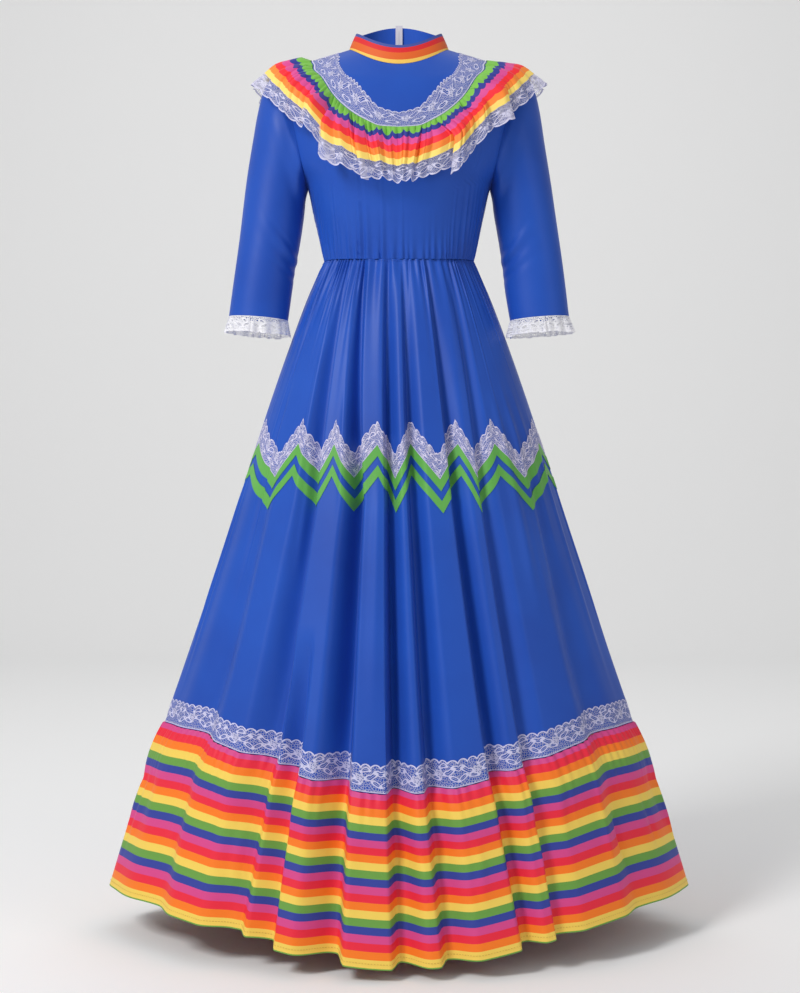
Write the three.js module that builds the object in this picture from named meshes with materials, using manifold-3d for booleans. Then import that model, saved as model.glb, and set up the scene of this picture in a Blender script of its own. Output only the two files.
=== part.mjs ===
// A long folk dress with a stand collar, a gathered shoulder ruffle edged with lace, three-quarter
// sleeves with lace cuffs, and a flared skirt with an applied zigzag and a striped bottom flounce. It
// is filled out as if worn, hollow and open at the neck, cuffs and hem. Millimetres, +Z up, the front
// faces -Y, and the origin lies between the shoulders at the foot of the collar, where the wearer
// carries it.
import * as THREE from "three";
import Module from "manifold-3d";

const wasm = await Module();
wasm.setup();

// Driving dimensions
const CLOTH = 1.5; // wall of the satin panels
const TRIM = 1; // wall of laces, bands and tapes
const SEAM = 0.3; // gap between pieces that are sewn together
const ZIP_HALF = 4.2; // half of the gap between the two zipped edges
const TAPE_HALF = 5.6; // half of the zip's whole width
const ZIP_END = 200; // how far the zip reaches below the waist
const SLIDER = { z: 41, half: 3.5, thick: 2.4, low: -5, high: 6, bridge: 2.8, leg: 1.3, stand: 3 };
const PULL = { half: 2.4, length: 18, eye: 1.3 };
const FLOUNCE_SEAM = 780; // drop from the waist to the flounce, down the side
const HEM = 1056; // drop from the waist to the hem, down the side
const SKIRT_LACE = 40; // height of the lace over the flounce
const ZIGZAG = { top: 366, height: 57, lace: 42, band: 18.5, gap: 15 }; // drops below the waist
const RUFFLE_STRIPES = 0.71; // share of the ruffle that is striped cloth, the rest is its lace
const WAIST_GATHERS = 60;
const BODICE_GATHERS = 15; // on the front, and as many on the back
const RUFFLE_WAVES = 40;
const FOLD_LIFT = 0.12; // rise of the cloth for each millimetre that a fold goes in
const FULL_FOLD = 640; // drop at which the folds are deepest
const CUFF_WAVES = 8;

// Level sections of the bodice, from the waist (0) to the foot of the collar (11). Row 3 is the
// underarm and row 8 the tip of the shoulder.
const TORSO = [
  { row: 0, zSide: -339, zFront: -346, zBack: -336, wide: 119, front: 88, back: 78, roundness: 2.1 },
  { row: 1, zSide: -300, zFront: -304, zBack: -298, wide: 128, front: 101, back: 86, roundness: 2.1 },
  { row: 2, zSide: -260, zFront: -262, zBack: -258, wide: 137, front: 116, back: 94, roundness: 2.15 },
  { row: 3, zSide: -222, zFront: -215, zBack: -215, wide: 146, front: 124, back: 102, roundness: 2.3 },
  { row: 4, zSide: -190, zFront: -182, zBack: -178, wide: 166, front: 124, back: 107, roundness: 2.4 },
  { row: 5, zSide: -150, zFront: -148, zBack: -138, wide: 176, front: 118, back: 109, roundness: 2.5 },
  { row: 6, zSide: -110, zFront: -116, zBack: -98, wide: 184, front: 108, back: 107, roundness: 2.5 },
  { row: 7, zSide: -72, zFront: -88, zBack: -62, wide: 189, front: 96, back: 100, roundness: 2.4 },
  { row: 8, zSide: -35, zFront: -66, zBack: -34, wide: 187, front: 84, back: 88, roundness: 2.1 },
  { row: 9, zSide: -22, zFront: -56, zBack: -16, wide: 150, front: 77, back: 80, roundness: 2 },
  { row: 10, zSide: -10, zFront: -46, zBack: 0, wide: 112, front: 69, back: 72, roundness: 2 },
  { row: 11, zSide: 0, zFront: -36, zBack: 16, wide: 80, front: 60, back: 63, roundness: 2 },
];
const COLLAR_TOP = { zSide: 26, zFront: -4.5, zBack: 52, wide: 69, front: 52, back: 55, roundness: 2 };
const ARMHOLE = { tipX: 187, tipZ: -35, underarmX: 146, underarmZ: -222 }; // its plane runs front to back

// How high on the bodice the ruffle's seam and the upper edge of the neck lace run, in rows, at each
// angle from the front
const NECKLINE = [
  { angle: 0, seam: 5, lace: 5.75 },
  { angle: 6, seam: 5.06, lace: 6.05 },
  { angle: 12, seam: 5.36, lace: 6.9 },
  { angle: 17, seam: 5.68, lace: 7.5 },
  { angle: 25, seam: 6.4, lace: 8.15 },
  { angle: 33, seam: 7.3, lace: 8.75 },
  { angle: 45, seam: 8.2, lace: 9.45 },
  { angle: 60, seam: 8.85, lace: 10.1 },
  { angle: 90, seam: 9.32, lace: 10.5 },
  { angle: 120, seam: 8.85, lace: 9.8 },
  { angle: 150, seam: 7.5, lace: 8.5 },
  { angle: 180, seam: 6.9, lace: 7.8 },
];

// Free edge of the ruffle's lace, on the wearer's left; the other side mirrors it
const RUFFLE_EDGE = [
  { angle: 0, x: 0, y: -142, z: -238, rise: 6 },
  { angle: 17, x: 50, y: -140, z: -227, rise: 7 },
  { angle: 25, x: 92, y: -128, z: -203, rise: 9 },
  { angle: 33, x: 136, y: -104, z: -154, rise: 13 },
  { angle: 45, x: 172, y: -82, z: -122, rise: 15 },
  { angle: 60, x: 206, y: -50, z: -86, rise: 14 },
  { angle: 90, x: 227, y: 2, z: -60, rise: 11 },
  { angle: 120, x: 210, y: 54, z: -74, rise: 14 },
  { angle: 140, x: 170, y: 93, z: -102, rise: 15 },
  { angle: 160, x: 98, y: 122, z: -134, rise: 11 },
  { angle: 180, x: 8, y: 132, z: -150, rise: 9 },
];

// Sections of the wearer's left sleeve from armhole (0) to cuff (1): the point on top of the arm, the
// one under it
const SLEEVE = [
  { s: 0, topX: 187, topZ: -35, lowX: 146, lowZ: -222, halfDepth: 58, midY: 2 },
  { s: 0.06, topX: 203, topZ: -44, lowX: 147.5, lowZ: -230, halfDepth: 60, midY: 2 },
  { s: 0.14, topX: 216, topZ: -66, lowX: 149.5, lowZ: -243, halfDepth: 60, midY: 1 },
  { s: 0.24, topX: 225, topZ: -99, lowX: 152, lowZ: -261, halfDepth: 58, midY: 0 },
  { s: 0.38, topX: 233, topZ: -147, lowX: 156, lowZ: -289, halfDepth: 54, midY: -2 },
  { s: 0.54, topX: 244, topZ: -214, lowX: 161, lowZ: -324, halfDepth: 50, midY: -4 },
  { s: 0.7, topX: 254, topZ: -291, lowX: 166, lowZ: -361, halfDepth: 46, midY: -7 },
  { s: 0.85, topX: 262, topZ: -354, lowX: 171, lowZ: -394, halfDepth: 43, midY: -10 },
  { s: 1, topX: 271, topZ: -427, lowX: 177, lowZ: -434, halfDepth: 41, midY: -13 },
];
const CUFF = { drop: 25, flare: 5, wave: 2.5 };

// Level sections of skirt and flounce at each drop below the waist, out to the crests of the folds.
// taper flattens the sides of the oval.
const SKIRT = [
  { drop: 0, zSide: -339, wide: 119, zFront: -346, front: 88, zBack: -336, back: 78, taper: 0.05 },
  { drop: 73, zSide: -406, wide: 149, zFront: -414, front: 108, zBack: -403, back: 96, taper: 0.1 },
  { drop: 237, zSide: -560, wide: 205, zFront: -570, front: 143, zBack: -560, back: 130, taper: 0.2 },
  { drop: 418, zSide: -733, wide: 260, zFront: -740, front: 179, zBack: -731, back: 166, taper: 0.3 },
  { drop: 574, zSide: -880, wide: 309, zFront: -915, front: 210, zBack: -890, back: 197, taper: 0.35 },
  { drop: 780, zSide: -1075, wide: 376, zFront: -1147, front: 255, zBack: -1105, back: 240, taper: 0.4 },
  { drop: 913, zSide: -1200, wide: 422, zFront: -1262, front: 285, zBack: -1230, back: 268, taper: 0.4 },
  { drop: 1056, zSide: -1336, wide: 464, zFront: -1384, front: 318, zBack: -1360, back: 300, taper: 0.4 },
];
const PEAK_DROP = 150; // over each such drop below the middle, the fall gathers nearer to the front and back
const MIDDLE = 400; // the drop at which a fold stands at its middle angle

// The skirt's folds: where the bottom of each valley stands at the waist, the middle and the hem, in
// degrees from the front towards the wearer's left; its depth at the hem; its width in degrees; the
// side on which it is steep; and the drop at which it begins. A fold of no depth only marks a seam.
const FOLDS = [
  { waist: -90, middle: -90, hem: -90, depth: 0, width: 8, steep: 1, start: 0 },
  { waist: -72, middle: -75, hem: -77, depth: 9, width: 8, steep: 1, start: 300 },
  { waist: -54, middle: -58, hem: -57.5, depth: 20, width: 9, steep: 1, start: 300 },
  { waist: -42, middle: -34, hem: -33.6, depth: 27, width: 6, steep: 1, start: 20 },
  { waist: -32, middle: -26, hem: -27.5, depth: 40, width: 4.9, steep: 1, start: 350 },
  { waist: -26, middle: -16.5, hem: -14.7, depth: 38, width: 5, steep: 1, start: 0 },
  { waist: -8, middle: -3, hem: 2.2, depth: 32, width: 4, steep: -1, start: 0 },
  { waist: 6, middle: 5, hem: 11, depth: 30, width: 4, steep: -1, start: 200 },
  { waist: 21, middle: 21.5, hem: 25.4, depth: 20, width: 3.5, steep: -1, start: 0 },
  { waist: 37, middle: 31.5, hem: 31, depth: 6, width: 4.5, steep: -1, start: 20 },
  { waist: 54, middle: 60, hem: 55.3, depth: 10, width: 8.8, steep: -1, start: 300 },
  { waist: 72, middle: 76, hem: 77, depth: 9, width: 8, steep: -1, start: 300 },
  { waist: 90, middle: 90, hem: 90, depth: 0, width: 8, steep: -1, start: 0 },
  { waist: 112, middle: 111, hem: 110, depth: 18, width: 7, steep: 1, start: 60 },
  { waist: 132, middle: 134, hem: 133, depth: 30, width: 6, steep: 1, start: 0 },
  { waist: 150, middle: 152, hem: 153, depth: 36, width: 5, steep: 1, start: 0 },
  { waist: 166, middle: 167, hem: 168, depth: 24, width: 4, steep: 1, start: 200 },
  { waist: 180, middle: 180, hem: 180, depth: 0, width: 6, steep: 1, start: 0 },
  { waist: 195, middle: 194, hem: 193, depth: 28, width: 4, steep: -1, start: 120 },
  { waist: 211, middle: 209, hem: 208, depth: 38, width: 5, steep: -1, start: 0 },
  { waist: 229, middle: 228, hem: 229, depth: 28, width: 6, steep: -1, start: 0 },
  { waist: 249, middle: 250, hem: 251, depth: 18, width: 7, steep: -1, start: 60 },
];

// Corners of the zigzag, in degrees at the middle of the skirt, low and high by turns
const ZIGZAG_LOW = [-53.6, -30.5, -16.5, -1, 14.7, 29, 53, 103, 128, 148, 164, 180, 196, 212, 232, 257];
const ZIGZAG_HIGH = [-78, -42, -24, -6.7, 5, 23.5, 39.3, 78, 116, 138, 156, 172, 188, 204, 222, 244];

const rad = THREE.MathUtils.degToRad;
const smooth = THREE.MathUtils.smoothstep;
const vector = (x, y, z) => new THREE.Vector3(x, y, z);
const between = (a, b, t) => a.clone().lerp(b, t);
const range = (count, make) => Array.from({ length: count }, (_, i) => make(i));
const evenly = (from, to, steps) => range(steps + 1, (i) => from + ((to - from) * i) / steps);

// One column of a table read at any place of its key, smooth and without overshoot
function read(table, key, column, place) {
  const last = table.length - 1;
  const x = THREE.MathUtils.clamp(place, table[0][key], table[last][key]);
  let i = 0;
  while (i < last - 1 && x > table[i + 1][key]) i++;
  const slope = (j) => (table[j + 1][column] - table[j][column]) / (table[j + 1][key] - table[j][key]);
  const tangent = (j) => {
    if (j === 0) return slope(0);
    if (j === last) return slope(last - 1);
    const before = slope(j - 1);
    const after = slope(j);
    return before * after <= 0 ? 0 : (2 * before * after) / (before + after);
  };
  const step = table[i + 1][key] - table[i][key];
  const t = (x - table[i][key]) / step;
  const a = table[i][column];
  const b = table[i + 1][column];
  return (
    a * (1 + 2 * t) * (1 - t) ** 2 +
    step * tangent(i) * t * (1 - t) ** 2 +
    b * t * t * (3 - 2 * t) +
    step * tangent(i + 1) * t * t * (t - 1)
  );
}

const readAll = (table, key, place) =>
  Object.fromEntries(
    Object.keys(table[0]).map((column) => [column, read(table, key, column, place)]),
  );

// A point of an oval. The angle is 0 at the front and 90 degrees at +X; across and deep are powers
// that bend it away from an ellipse, and peak shapes its fall from the sides to the front and back.
function oval(angle, size, across, deep, peak = 2) {
  const s = Math.sin(rad(angle));
  const c = Math.cos(rad(angle));
  const depth = c > 0 ? size.front : size.back;
  const zEnd = c > 0 ? size.zFront : size.zBack;
  return vector(
    size.wide * Math.sign(s) * Math.abs(s) ** across,
    -depth * Math.sign(c) * Math.abs(c) ** deep,
    size.zSide + (zEnd - size.zSide) * Math.abs(c) ** peak,
  );
}

// Cloth walls

// Triangles between two rows of points, each row ordered by its u
function joinRows(above, below, faces) {
  let i = 0;
  let j = 0;
  while (i < above.length - 1 || j < below.length - 1) {
    const nextAbove = i < above.length - 1 ? above[i + 1].u : Infinity;
    const nextBelow = j < below.length - 1 ? below[j + 1].u : Infinity;
    const level = Math.abs(nextAbove - nextBelow) < 1e-6;
    const downhill = () => above[i].p.distanceTo(below[j + 1].p);
    const uphill = () => above[i + 1].p.distanceTo(below[j].p);
    if (level ? uphill() <= downhill() : nextAbove < nextBelow) {
      faces.push([above[i], below[j], above[i + 1]]);
      i++;
    } else {
      faces.push([above[i], below[j], below[j + 1]]);
      j++;
    }
  }
}

// The sheet of faces through rows of points, and at each point the direction out of the cloth. A
// point with a plane lies on a seam or a hem, and its wall stays in that plane.
function sheet(rows, closed, about = vector(0, 0, 0)) {
  const faces = [];
  const closing = (row) => ({ u: row[0].u + 1, p: row[0].p, twin: row[0] });
  const loops = rows.map((row) => (closed ? [...row, closing(row)] : row));
  for (let k = 0; k + 1 < loops.length; k++) joinRows(loops[k], loops[k + 1], faces);
  const own = faces.map((face) => face.map((point) => point.twin ?? point));
  const normals = own.map(([a, b, c]) => b.p.clone().sub(a.p).cross(c.p.clone().sub(a.p)));
  let facing = 0;
  own.forEach(([a], k) => {
    const away = a.p.clone().sub(about).setZ(0);
    facing += normals[k].dot(away);
  });
  if (facing < 0) {
    own.forEach((face) => face.reverse());
    normals.forEach((normal) => normal.negate());
  }
  const around = new Map();
  own.forEach((face, k) => {
    for (const point of face) around.set(point, [...(around.get(point) ?? []), normals[k]]);
  });
  for (const [point, touching] of around) {
    const out = vector(0, 0, 0);
    for (const normal of touching) out.add(normal);
    if (point.plane) out.addScaledVector(point.plane, -out.dot(point.plane) / point.plane.lengthSq());
    out.normalize();
    let least = 1;
    for (const normal of touching) least = Math.min(least, out.dot(normal) / (normal.length() || 1));
    point.out = out.multiplyScalar(1 / Math.max(least, 0.45));
  }
  return own;
}

// A closed solid wall from the sheet: its outer face lies `lift` outside the sheet and it is `wall`
// thick
function thicken(faces, wall, lift = 0) {
  const ids = new Map();
  const corners = [];
  for (const point of faces.flat()) {
    if (ids.has(point)) continue;
    ids.set(point, corners.length / 2);
    corners.push(point.p.clone().addScaledVector(point.out, lift));
    corners.push(point.p.clone().addScaledVector(point.out, lift - wall));
  }
  const triangles = [];
  const edges = new Map();
  for (const face of faces) {
    const [a, b, c] = face.map((point) => ids.get(point));
    triangles.push(2 * a, 2 * b, 2 * c, 2 * a + 1, 2 * c + 1, 2 * b + 1);
    for (const [from, to] of [[a, b], [b, c], [c, a]]) edges.set(`${from} ${to}`, [from, to]);
  }
  for (const [from, to] of edges.values()) {
    if (edges.has(`${to} ${from}`)) continue;
    const [a, b, c, d] = [2 * from, 2 * from + 1, 2 * to + 1, 2 * to];
    const acrossEdge = corners[a].distanceTo(corners[c]) < corners[b].distanceTo(corners[d]);
    triangles.push(...(acrossEdge ? [a, b, c, a, c, d] : [a, b, d, d, b, c]));
  }
  const geometry = new THREE.BufferGeometry();
  const places = corners.flatMap((corner) => corner.toArray());
  geometry.setAttribute("position", new THREE.Float32BufferAttribute(places, 3));
  geometry.setIndex(triangles);
  return geometry;
}

const group = new THREE.Group();

function add(name, geometry, paint) {
  geometry.computeVertexNormals();
  const mesh = new THREE.Mesh(geometry, new THREE.MeshStandardMaterial({ metalness: 0, ...paint }));
  mesh.name = name;
  group.add(mesh);
}

// Bodice

const torso = (angle, row) => {
  const size = readAll(TORSO, "row", row);
  return oval(angle, size, 2 / size.roundness, 2 / size.roundness);
};
const NECK_ROW = 11;

const armholeRun = vector(ARMHOLE.tipX - ARMHOLE.underarmX, 0, ARMHOLE.tipZ - ARMHOLE.underarmZ);
armholeRun.normalize();
const armholePlane = (side) => vector(side * armholeRun.z, 0, -armholeRun.x); // points out to the arm

// How far a point lies outside the armhole's plane; below and above the armhole every point is inside
function beyondArmhole(p) {
  if (p.z <= ARMHOLE.underarmZ || p.z >= ARMHOLE.tipZ) return -1;
  return p.clone().sub(vector(ARMHOLE.underarmX, 0, ARMHOLE.underarmZ)).dot(armholePlane(1));
}

const seamRow = (angle) => read(NECKLINE, "angle", "seam", Math.abs(angle));
const laceRow = (angle) => read(NECKLINE, "angle", "lace", Math.abs(angle));

// Rows of the bodice from the waist up: shares of the way to the ruffle's seam, then to the lace's
// edge and the neck
const BODICE_ROWS = [
  ...[0, 0.045, 0.13, 0.23, 0.3215, 0.36, 0.42, 0.49, 0.57, 0.65, 0.73, 0.8, 0.859, 0.93, 1].map(
    (share) => ({ share, rowOf: (angle) => share * seamRow(angle) }),
  ),
  { share: 1, rowOf: laceRow },
  { share: 1, rowOf: (angle) => (laceRow(angle) + NECK_ROW) / 2 },
  { share: 1, rowOf: () => NECK_ROW },
];
const SEAM_ROW = 14;
const LACE_ROW = 15;
const GATHERED_ROWS = 3; // rows over the waist that have a point on each side of every gather
const FRONT_COLUMNS = 16;
const BACK_COLUMNS = 8;

// The angle where a row meets the armhole, searched from the front (0) or the back (180), or 90 where
// it passes clear
function edgeAngle(rowOf, from) {
  const inside = (angle) => beyondArmhole(torso(angle, rowOf(angle))) < -SEAM / 2;
  if (inside(90)) return 90;
  let near = from;
  let far = 90;
  for (let i = 0; i < 40; i++) {
    const middle = (near + far) / 2;
    if (inside(middle)) near = middle;
    else far = middle;
  }
  return near;
}

const bodiceGather = (share, angle) =>
  2.2 * (1 - smooth(share, 0.02, 0.25)) * Math.cos(rad(2 * BODICE_GATHERS * angle));

// One point of a bodice row, with the plane of whatever seam it lies on
function bodicePoint(row, angle, edge, u) {
  const { share, rowOf } = row;
  const p = torso(angle, rowOf(angle));
  const side = Math.sign(angle);
  let plane = null;
  if (edge === "side" && Math.abs(Math.abs(angle) - 90) > 1e-9) {
    plane = armholePlane(side);
  } else if (edge === "side") {
    plane = vector(0, 1, 0);
  } else if (edge === "zip") {
    p.x = side * ZIP_HALF;
    plane = vector(1, 0, 0);
  } else {
    const away = vector(Math.sin(rad(angle)), -Math.cos(rad(angle)), 0);
    p.addScaledVector(away, bodiceGather(share, angle));
  }
  return { u, p, plane, angle };
}

// Rows of one bodice panel: "front", or the back to one side of the zip (side 1 or -1)
function bodicePanel(side) {
  return BODICE_ROWS.map((row, k) => {
    const gathered = k < GATHERED_ROWS;
    const edge = edgeAngle(row.rowOf, side === 0 ? 0 : 180);
    const ends = side === 0 ? [-edge, edge] : [edge, 180];
    const plain = side === 0 ? FRONT_COLUMNS : BACK_COLUMNS;
    const steps = gathered ? (side === 0 ? 2 : 1) * BODICE_GATHERS : plain;
    const points = evenly(ends[0], ends[1], steps).map((angle, i) => {
      const atEnd = i === 0 || i === steps;
      const kind = atEnd ? (side !== 0 && i === steps ? "zip" : "side") : null;
      const point = bodicePoint(row, side < 0 ? -angle : angle, kind, i / steps);
      if (kind === "side" && point.plane.y) point.p.y = side === 0 ? -SEAM / 2 : SEAM / 2;
      if (k === 0) point.p.z += SEAM / 2;
      if (k === BODICE_ROWS.length - 1) point.p.z -= SEAM / 2;
      if (!point.plane && (k === 0 || k === BODICE_ROWS.length - 1)) point.plane = vector(0, 0, 1);
      return point;
    });
    return points;
  });
}

const satin = { color: "#2b4fb4", roughness: 0.42 };
const lace = { color: "#cfcdea", roughness: 0.85 };
const stripes = { color: "#e0506a", roughness: 0.5 };
const bodice = { front: bodicePanel(0), left: bodicePanel(1), right: bodicePanel(-1) };
add("bodice_front", thicken(sheet(bodice.front, false), CLOTH), satin);
add("bodice_back_left", thicken(sheet(bodice.left, false), CLOTH), satin);
add("bodice_back_right", thicken(sheet(bodice.right, false), CLOTH), satin);

// A row of points once round the neck, from one side of the zip to the other
const neckAngles = [
  ...evenly(-180, -90, BACK_COLUMNS),
  ...evenly(-90, 90, FRONT_COLUMNS).slice(1, -1),
  ...evenly(90, 180, BACK_COLUMNS),
];
function neckRing(rowOf) {
  const last = neckAngles.length - 1;
  return neckAngles.map((angle, i) => {
    const p = torso(angle, rowOf(angle));
    const atZip = i === 0 || i === last;
    if (atZip) p.x = Math.sign(angle) * ZIP_HALF;
    return { u: i / last, p, plane: atZip ? vector(1, 0, 0) : null };
  });
}

// Flat lace on the yoke, from just over the ruffle's seam up to its scalloped edge
const onSeam = neckRing(seamRow);
const onLace = neckRing(laceRow);
const laceFoot = onSeam.map((point, i) => ({ ...point, p: between(point.p, onLace[i].p, 0.02) }));
const LACE_LIFT = 0.4;
add("neck_lace", thicken(sheet([onLace, laceFoot], false), TRIM, LACE_LIFT + TRIM), lace);

// Stand collar
function collarRing(t) {
  const foot = readAll(TORSO, "row", NECK_ROW);
  const size = {};
  for (const key of Object.keys(COLLAR_TOP)) size[key] = foot[key] + (COLLAR_TOP[key] - foot[key]) * t;
  const angles = evenly(-180, 180, 36);
  return angles.map((angle, i) => {
    const p = oval(angle, size, 1, 1);
    if (t === 0) p.z += SEAM / 2;
    const atZip = i === 0 || i === 36;
    if (atZip) p.x = Math.sign(angle) * ZIP_HALF;
    const plane = atZip ? vector(1, 0, 0) : t === 0 ? vector(0, 0, 1) : null;
    return { u: i / 36, p, plane };
  });
}
const collarPaint = { color: "#e04a2c", roughness: 0.5 };
add("collar", thicken(sheet([1, 0.5, 0].map(collarRing), false), CLOTH), collarPaint);

// Ruffle over chest, shoulders and back, and the lace on its edge

// The base of the ruffle without its waves: from the seam (0) to the free edge of the lace (1)
function ruffleBase(angle, t) {
  const around = Math.abs(angle);
  const side = Math.sign(angle) || 1;
  const foot = torso(angle, seamRow(angle));
  const edge = readAll(RUFFLE_EDGE, "angle", around);
  const lean = 0.75 * Math.sin(rad(around)) ** 2;
  const out = vector(Math.sin(rad(angle)), -Math.cos(rad(angle)), lean).normalize();
  foot.addScaledVector(out, LACE_LIFT + TRIM + 0.6);
  if (around === 180) foot.x = side * (ZIP_HALF + 1);
  const p = between(foot, vector(side * edge.x, edge.y, edge.z), t);
  return { p: p.addScaledVector(out, edge.rise * Math.sin(Math.PI * t ** 0.8)), out };
}

// Angles that share the ruffle's length evenly, so that its waves are all about as long
function ruffleAngles(steps) {
  const marks = evenly(0, 180, 360);
  const lengths = [0];
  for (let i = 1; i < marks.length; i++) {
    const step = [0, 1].map((t) => ruffleBase(marks[i], t).p.distanceTo(ruffleBase(marks[i - 1], t).p));
    lengths.push(lengths[i - 1] + step[0] + step[1]);
  }
  const half = evenly(0, lengths[360], steps / 2).map((length) => {
    let i = 1;
    while (i < 360 && lengths[i] < length) i++;
    const share = (length - lengths[i - 1]) / (lengths[i] - lengths[i - 1]);
    return marks[i - 1] + (marks[i] - marks[i - 1]) * share;
  });
  return [...half.slice(1).reverse().map((angle) => -angle), ...half];
}

const ruffleColumns = ruffleAngles(2 * RUFFLE_WAVES);
function ruffleRow(t, drop = 0) {
  const last = ruffleColumns.length - 1;
  return ruffleColumns.map((angle, i) => {
    const { p, out } = ruffleBase(angle, t);
    p.addScaledVector(out, (i % 2) * (1 + 11 * t));
    const before = ruffleBase(angle, Math.max(t - 0.01, 0)).p;
    const along = ruffleBase(angle, t + 0.01).p.sub(before).normalize();
    p.addScaledVector(along, drop);
    return { u: i / last, p, plane: t === RUFFLE_STRIPES ? along : null };
  });
}
const stripeRow = (share) => ruffleRow(share * RUFFLE_STRIPES, share < 1 ? 0 : -SEAM);
const stripeRows = [0, 0.3, 0.65, 1].map(stripeRow);
add("neck_ruffle", thicken(sheet(stripeRows, false), CLOTH), stripes);
const edgingRows = [ruffleRow(RUFFLE_STRIPES, SEAM), ruffleRow(1)];
const edgingFaces = sheet(edgingRows, false);
edgingRows[0].forEach((point, i) => (point.out = stripeRows.at(-1)[i].out));
add("ruffle_lace", thicken(edgingFaces, TRIM), lace);

// Sleeves

const sleeveFrame = (s, side) => {
  const size = readAll(SLEEVE, "s", s);
  const top = vector(side * size.topX, size.midY, size.topZ);
  const low = vector(side * size.lowX, size.midY, size.lowZ);
  return { size, centre: between(top, low, 0.5), half: top.sub(low).multiplyScalar(0.5) };
};

// The armhole from the tip of the shoulder down the front and up the back: heights shared with the
// bodice's rows
function armhole(side) {
  const rows = BODICE_ROWS.filter(({ share }) => share > 0.33 && share < 0.85);
  const front = rows.map(({ rowOf }) => edgeAngle(rowOf, 0));
  const back = rows.map(({ rowOf }) => edgeAngle(rowOf, 180));
  const onEdge = (angle, k) => torso(side * angle, rows[k].rowOf(angle));
  const tip = vector(side * ARMHOLE.tipX, 0, ARMHOLE.tipZ);
  const underarm = vector(side * ARMHOLE.underarmX, 0, ARMHOLE.underarmZ);
  return [tip, ...front.map(onEdge).reverse(), underarm, ...back.map(onEdge)];
}

function sleeve(side) {
  const start = sleeveFrame(0, side);
  const reach = start.half.lengthSq();
  const edge = armhole(side).map((p) => {
    const high = THREE.MathUtils.clamp(p.clone().sub(start.centre).dot(start.half) / reach, -1, 1);
    const turn = Math.acos(high) * (p.y > 0 ? -1 : 1);
    return { p, turn: high <= -1 + 1e-6 ? Math.PI : turn };
  });
  const ringPoint = (s, turn) => {
    const { size, centre, half } = sleeveFrame(s, side);
    const across = vector(0, -size.halfDepth * Math.sin(turn), 0);
    return centre.addScaledVector(half, Math.cos(turn)).add(across);
  };
  return SLEEVE.map(({ s }) => {
    const blend = 1 - smooth(s, 0, 0.3);
    const { half } = sleeveFrame(s, side);
    return edge.map(({ p, turn }, i) => {
      const point = ringPoint(s, turn).addScaledVector(p.clone().sub(ringPoint(0, turn)), blend);
      let plane = null;
      if (s === 0) {
        const out = armholePlane(side);
        point.addScaledVector(out, SEAM / 2 - point.clone().sub(start.centre).dot(out));
        plane = out;
      }
      if (s === 1) plane = vector(half.z, 0, -half.x).normalize();
      return { u: i / edge.length, p: point, plane };
    });
  });
}

function cuffLace(side) {
  const { size, centre, half } = sleeveFrame(1, side);
  const down = vector(side * half.z, 0, -side * half.x).normalize();
  const steps = 3 * CUFF_WAVES;
  const row = (drop, widen, wave) =>
    range(steps, (i) => {
      const turn = (2 * Math.PI * i) / steps;
      const grow = 1 + (widen + (i % 3 === 0 ? wave : i % 3 === 1 ? 0 : -wave)) / size.halfDepth;
      const p = centre.clone().addScaledVector(half, Math.cos(turn) * grow);
      p.y -= size.halfDepth * Math.sin(turn) * grow;
      return { u: i / steps, p: p.addScaledVector(down, drop), plane: drop < 1 ? down : null };
    });
  return [row(SEAM, 0, 0), row(CUFF.drop, CUFF.flare, CUFF.wave)];
}

for (const [name, side] of [["left", 1], ["right", -1]]) {
  const about = vector(side * 205, 0, 0);
  add(`sleeve_${name}`, thicken(sheet(sleeve(side), true, about), CLOTH), satin);
  const { centre } = sleeveFrame(1, side);
  add(`cuff_lace_${name}`, thicken(sheet(cuffLace(side), true, centre), TRIM), lace);
}

// Skirt and flounce

// Columns of the skirt are named by the angle at which they stand in its middle. standing() gives the
// angle they have reached at another drop, as each fold swings out on its way down.
const foldMarks = [
  { middle: FOLDS.at(-1).middle - 360, waist: FOLDS.at(-1).waist - 360, hem: FOLDS.at(-1).hem - 360 },
  ...FOLDS,
  { middle: FOLDS[0].middle + 360, waist: FOLDS[0].waist + 360, hem: FOLDS[0].hem + 360 },
];
function standing(column, drop) {
  let i = 0;
  while (i < foldMarks.length - 2 && column > foldMarks[i + 1].middle) i++;
  const [a, b] = [foldMarks[i], foldMarks[i + 1]];
  const t = (column - a.middle) / (b.middle - a.middle);
  const at = (mark) =>
    drop < MIDDLE
      ? mark.waist + ((mark.middle - mark.waist) * drop) / MIDDLE
      : mark.middle + ((mark.hem - mark.middle) * (drop - MIDDLE)) / (HEM - MIDDLE);
  return at(a) + (at(b) - at(a)) * t;
}

// How far in a fold stands at a column
function foldDepth(column, drop) {
  let depth = 0;
  for (const fold of FOLDS) {
    const away = ((((column - fold.middle + 180) % 360) + 360) % 360) - 180;
    const reach = fold.width * (away * fold.steep > 0 ? 0.7 : 1.6);
    if (Math.abs(away) >= reach || drop <= fold.start) continue;
    const grown = Math.min((drop - fold.start) / (FULL_FOLD - fold.start), 1) ** 0.9;
    depth += fold.depth * grown * 0.5 * (1 + Math.cos((Math.PI * away) / reach));
  }
  return depth * (1.3 - 0.3 * smooth(drop, FULL_FOLD, 900));
}

// The flounce stands out a little just under its gathered seam
function puff(drop) {
  const share = THREE.MathUtils.clamp((drop - FLOUNCE_SEAM) / 90, 0, 1);
  return 7 * Math.sin(Math.PI * share) ** 0.7;
}

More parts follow.
